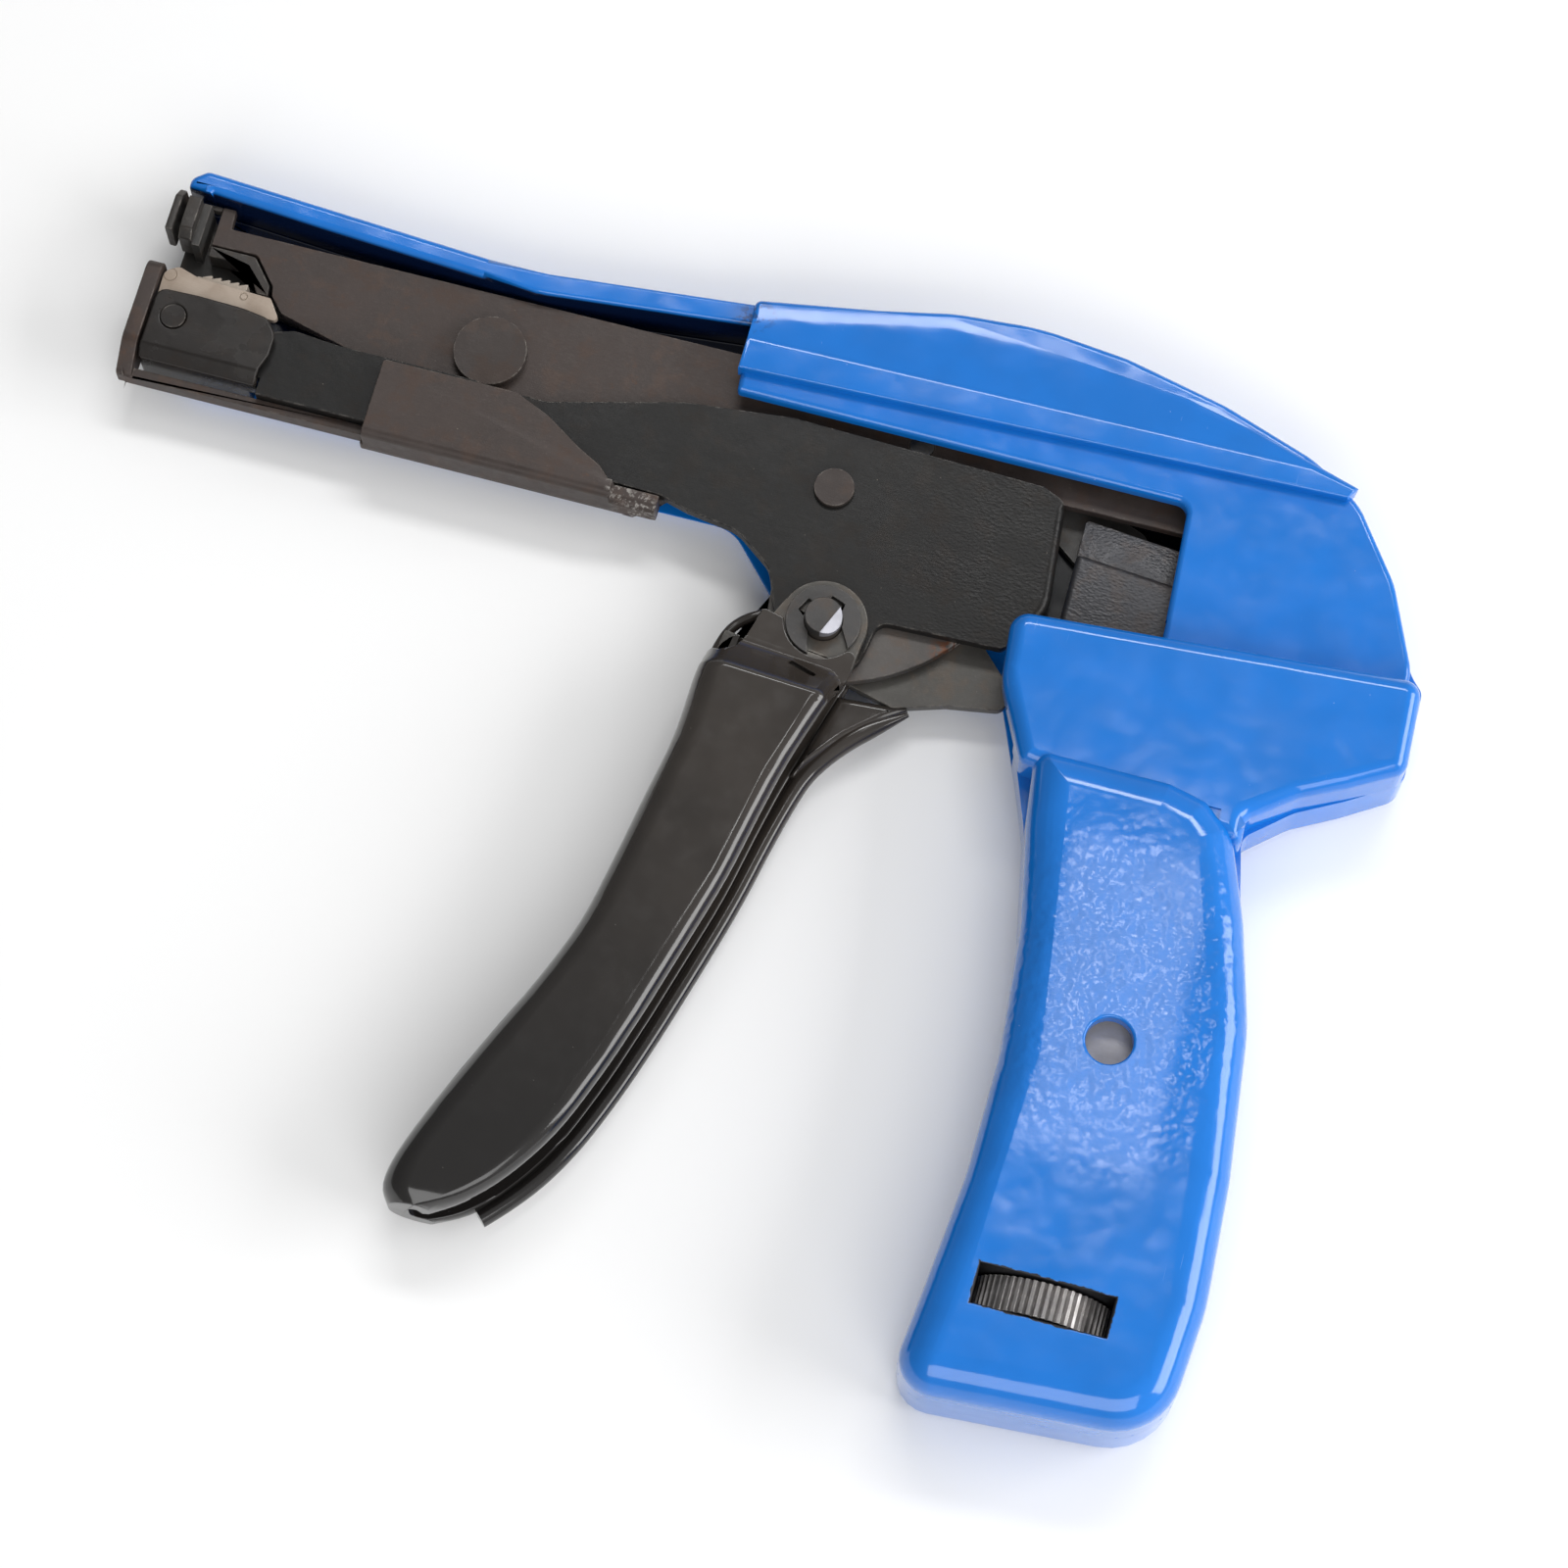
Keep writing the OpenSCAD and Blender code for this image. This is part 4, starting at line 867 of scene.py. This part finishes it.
# Near side at the ear and its rise, far side at the arm and its drop, in millimetres
NEAR, RISE, AFAR, DROP = 10.1, 3.9, 2.6, 1.1
VINYL_T = 0.6 * MM
CHANNEL_T, CHANNEL_R, LIP_R = 2.6 * MM, 3.6 * MM, 2.1 * MM
FAR_LIP_R, LOBE_R = 1.25 * MM, 0.65 * MM
CLIP_ROOM_R = 4.8 * MM
FLARE = [[80, 92, 2], [60, 16, 3], [72, 35, 40], [92, 61, 60], [116, 82, 60], [138, 97, 2],
         [121, 95, 6]]
# Centre lines of beads: x and y in shares, height in millimetres
LIP = [
    [133, 93, 3.75], [114, 80, 3.75], [93, 60, 3.6], [75, 36, 3.2], [67, 16, 2.9], [57, -25, 2.8],
    [47, -76, 2.8], [32, -132, 2.8], [16, -189, 2.8], [0, -239, 2.8], [-19, -286, 2.8],
    [-43, -324, 2.8], [-64, -346, 2.9],
]
NOTCH = [[-60, 93], [-14, 93], [-8, 91], [-2, 94], [3, 100], [7, 109], [10, 119], [13, 131],
         [13, 160], [-60, 160]]
SHOULDER = [[-60, 92], [-15.8, 92], [-15, 99], [-12, 107], [-7, 113.5], [0, 117.5], [0, 160],
            [-60, 160]]
LOBE = [
    [14, 141, 5.6], [7, 135, 5.3], [-2, 129, 5.0], [-9, 120, 5.0], [-13, 108, 5.0],
    [-15, 98, 4.8], [-16, 88, 4.4],
]
EAR_SKIN = [[14, 131, 3], [30, 127, 10], [66, 115, 10], [86, 114, 3], [85, 92, 4], [0, 96, 4]]
SLIT = [[41, 95, 2], [62, 87.5, 2], [64.5, 90.5, 2], [44, 98, 2]]
PIN_AT = (X(58), Y(134))
PIN_TOP, PIN_R = 12.2 * MM, 2.3 * MM
# Direction in plan that the pin's ground facet falls towards
FACET = (0.904, -0.383)


def smooth_between(rows, per):
    """Catmull-Rom rows between the given ones"""
    out = []
    for k in range(len(rows) - 1):
        p = [rows[max(k - 1, 0)], rows[k], rows[k + 1], rows[min(k + 2, len(rows) - 1)]]
        for s in range(per):
            t = s / per
            out.append([
                0.5 * (2 * b + (c - a) * t + (2 * a - 5 * b + 4 * c - d) * t * t
                       + (3 * b - a - 3 * c + d) * t ** 3)
                for a, b, c, d in zip(*p)
            ])
    return out + [list(rows[-1])]


def channel_ring(station):
    """Section of the dipped channel: open to the right, with rolled lips"""
    x0, y0, x1, y1, risen, dropped = station
    a, b = Vector((X(x0), Y(y0))), Vector((X(x1), Y(y1)))
    u = (b - a).normalized()
    w = (b - a).length
    low = (AFAR - DROP * min(max(dropped, 0), 1)) * MM
    high = (NEAR + RISE * min(max(risen, 0), 1)) * MM
    t = CHANNEL_T
    r = min(CHANNEL_R, (high - low) * 0.4)
    ri = max(r - t, 0.4 * MM)
    pts = []

    def arc(cu, cz, rad, start, sweep, n=6):
        for k in range(n + 1):
            g = math.radians(start + sweep * k / n)
            pts.append((cu + rad * math.cos(g), cz + rad * math.sin(g)))

    h = t / 2
    roll = min(LIP_R, (high - low) * 0.3)
    arc(w - roll, high - roll, roll, -60, 150, 10)
    arc(r, high - r, r, 90, 90, 8)
    arc(r, low + r, r, 180, 90, 8)
    arc(w - h, low + h, h, -90, 150, 8)
    arc(t + ri, low + t + ri, ri, 270, -90)
    arc(t + ri, high - t - ri, ri, 180, -90)
    return [(a.x + u.x * p[0], a.y + u.y * p[0], p[1]) for p in pts]


def grip_of_trigger(mat):
    rings = [channel_ring(s) for s in smooth_between(STATIONS, 4)]
    ob = new_object("trigger_vinyl", loft(rings), smooth=60)
    skin = slab(EAR_SKIN, EAR_TOP, EAR_TOP + VINYL_T + 0.02 * MM, high=0.3 * MM, cuts=3)
    combine(ob, [skin], "UNION")
    flare = slab(FLARE, 2.6 * MM, 4.9 * MM, low=0.7 * MM, high=0.9 * MM, cuts=4)
    combine(ob, [flare], "UNION")
    combine(ob, [
        prism(spots(NOTCH), 6 * MM, 20 * MM),
        prism(spots(SHOULDER), 0, 20 * MM),
        rod((*PIN_AT, EAR_TOP - 0.1 * MM), (*PIN_AT, 14 * MM), CLIP_ROOM_R, 64),
        slab(SLIT, 9.4 * MM, 20 * MM),
    ])
    finish(ob, [(0.15 * MM, 2, 50)], 40)
    place(ob, "trigger", mat, "trigger_grip", slot="black_vinyl")
    for name, line, r in [("trigger_far_lip", LIP, FAR_LIP_R), ("trigger_lobe", LOBE, LOBE_R)]:
        place(bead(name, line, r), "trigger", mat, slot="black_vinyl")


def end_of_pin(mat):
    """The trigger pin, with the ground facet on its end"""
    bm = bmesh.new()
    bm.from_mesh(NODES["trigger_pin"].data)
    tidy(bm)
    lean = math.radians(33)
    out = Vector((*FACET, 0)).normalized()
    start = Vector((*PIN_AT, PIN_TOP)) + out * 0.425 * PIN_R
    cut = bmesh.ops.bisect_plane(bm, geom=bm.verts[:] + bm.edges[:] + bm.faces[:], plane_co=start,
                                 plane_no=out * math.sin(lean) + Vector((0, 0, math.cos(lean))),
                                 clear_outer=True)
    rim = [g for g in cut["geom_cut"] if isinstance(g, bmesh.types.BMEdge)]
    bmesh.ops.contextual_create(bm, geom=rim)
    ob = finish(new_object("trigger_pin_finish", bm), [(0.12 * MM, 2, 25)], 20)
    place(ob, "trigger", mat, "trigger_pin", slot="pin_steel")


# put together

# Top of the pull rod in millimetres, and the height just above the tension link
ROD_TOP = 7.9
LINK_SEAT = 4.63 * MM

set_camera()
set_light()
set_floor()

BLUE = enamel("blue_enamel_look")
FRAME = oxide("brown_oxide", (0.054, 0.042, 0.0378), (0.4, 0.54), rust=0.25, marks=wrap_marks,
              streaks=0.6)
RIVET = oxide("rivet_oxide", (0.044, 0.0355, 0.0325), (0.4, 0.52), edge=0.5, mottle=0.12)
ROD = oxide("black_oxide", (0.013, 0.0126, 0.0123), (0.32, 0.42), grain=0.4, leather=0.7,
            leather_from=60, edge=0.35, specular=0.27)
BLACK = oxide("nose_oxide", (0.019, 0.0165, 0.015), (0.24, 0.34), metal=0.2, grain=0.2, edge=0.4,
              mottle=0.08, glint_and_dust_amount=0.2, streaks=0.1)
CAST = oxide("cast_nose", (0.042, 0.038, 0.035), (0.34, 0.5), grain=1.4, edge=0.5)
EAR = oxide("lever_oxide", (0.080, 0.076, 0.069), (0.34, 0.46), rust=0.1, edge=0.4)
CLIP = oxide("clip_oxide", (0.058, 0.056, 0.055), (0.34, 0.46), edge=0.3)
PIN = oxide("pin_end", (0.062, 0.060, 0.059), (0.36, 0.5), metal=0.5, edge=0.4, marks=pin_marks)
LINK = oxide("link_oxide", (0.058, 0.058, 0.063), (0.3, 0.42), leather=1.0, edge=0.35)
LUG = oxide("lug_oxide", (0.085, 0.078, 0.073), (0.34, 0.46), edge=0.35, marks=lug_marks)
ARM = oxide("arm_oxide", (0.05, 0.048, 0.046), edge=0.2)
BRIGHT = steel("bright_plate", (0.35, 0.287, 0.233), (0.42, 0.6), stain=0.4, metal=0.3,
               marks=pawl_marks)
TEETH = steel("bright_teeth", (0.36, 0.31, 0.26), (0.4, 0.55), stain=0.3, metal=0.4)
PLAIN = steel("plain_steel", (0.36, 0.35, 0.34))
COIL = steel("spring_wire", (0.42, 0.42, 0.43), edge=0.0)
ZINC = steel("nut_steel", (0.42, 0.41, 0.42), (0.45, 0.6), metal=0.3)
BRASS = steel("bush_brass", (0.55, 0.42, 0.2))
VINYL = vinyl("black_dipped_vinyl")
KNURL = steel("knurl_steel", (0.3, 0.29, 0.29), (0.3, 0.45), edge=0.9, metal=0.7)

LOOKS = {
    BLUE: ["right_housing", "left_housing"],
    PLAIN: ["housing_screws", "frame_screws", "fulcrum_pin", "spring_post", "tension_screw"],
    FRAME: ["barrel_frame"],
    RIVET: ["cutter_pivot", "rod_rivet"],
    CAST: ["nose_block", "anvil_plate", "cutter_blade"],
    ROD: ["pull_rod"],
    BLACK: ["carriage", "pawl_pin", "link_pin"],
    LUG: ["rod_lug_plate"],
    EAR: ["trigger_lever"],
    CLIP: ["trigger_clip"],
    PIN: ["trigger_pin"],
    LINK: ["tension_link"],
    ARM: ["cutter_arm"],
    BRIGHT: ["gripper_pawl"],
    TEETH: ["pawl_teeth"],
    COIL: ["return_spring", "pawl_spring", "tension_spring"],
    ZINC: ["tension_nut"],
    BRASS: ["screw_bushes"],
    KNURL: ["tension_wheel"],
    VINYL: ["trigger_grip"],
}
for look, names in LOOKS.items():
    for name in names:
        data = NODES[name].data
        data.materials.clear()
        data.materials.append(look)

far_shell(BLUE)
near_shell(BLUE)
grip_of_trigger(VINYL)
dress("barrel_frame", FRAME, "frame_steel", (0.16 * MM, 2))
dress("cutter_pivot", RIVET, "frame_steel", (0.12 * MM, 2, 30))
dress("nose_block", CAST, "frame_steel", (0.25 * MM, 2))
dress("anvil_plate", CAST, "frame_steel", (0.2 * MM, 2))
dress("cutter_blade", CAST, "cutter_steel", (0.2 * MM, 2))
# The rod's rear end and the link's front end are rolled over
dress("pull_rod", ROD, "rod_black",
      (1.2 * MM, 5, 45, within(203, 216, 140, 275, ROD_TOP, ROD_TOP)), (0.12 * MM, 2))
dress("rod_rivet", RIVET, "rod_black", (0.12 * MM, 2, 30))
dress("carriage", BLACK, "rod_black", (0.3 * MM, 3))
dress("rod_lug_plate", LUG, "frame_steel", (0.2 * MM, 2))
dress("trigger_lever", EAR, "lever_steel", (0.15 * MM, 2, 45))
dress("trigger_clip", CLIP, "lever_steel", (0.1 * MM, 2))
end_of_pin(PIN)
dress("tension_link", LINK, "rod_black",
      (1.2 * MM, 5, 45, within(220, 226, 205, 280, 0, 20)), (0.12 * MM, 2))
# The link's corner in the window is cut away in the solids, so two covers square it up
cover = slab(LINK_COVER, LINK_SEAT, 4.77 * MM, high=0.1 * MM, steps=5, cuts=2)
place(new_object("tension_link_cover", cover, smooth=60), "link", LINK, slot="rod_black")
roll = slab(LINK_ROLL, LINK_SEAT, 5.7 * MM, high=0.8 * MM, steps=5, cuts=4)
place(new_object("tension_link_roll", roll, smooth=60), "link", LINK, slot="rod_black")
dress("gripper_pawl", BRIGHT, "pawl_steel", (0.12 * MM, 2))
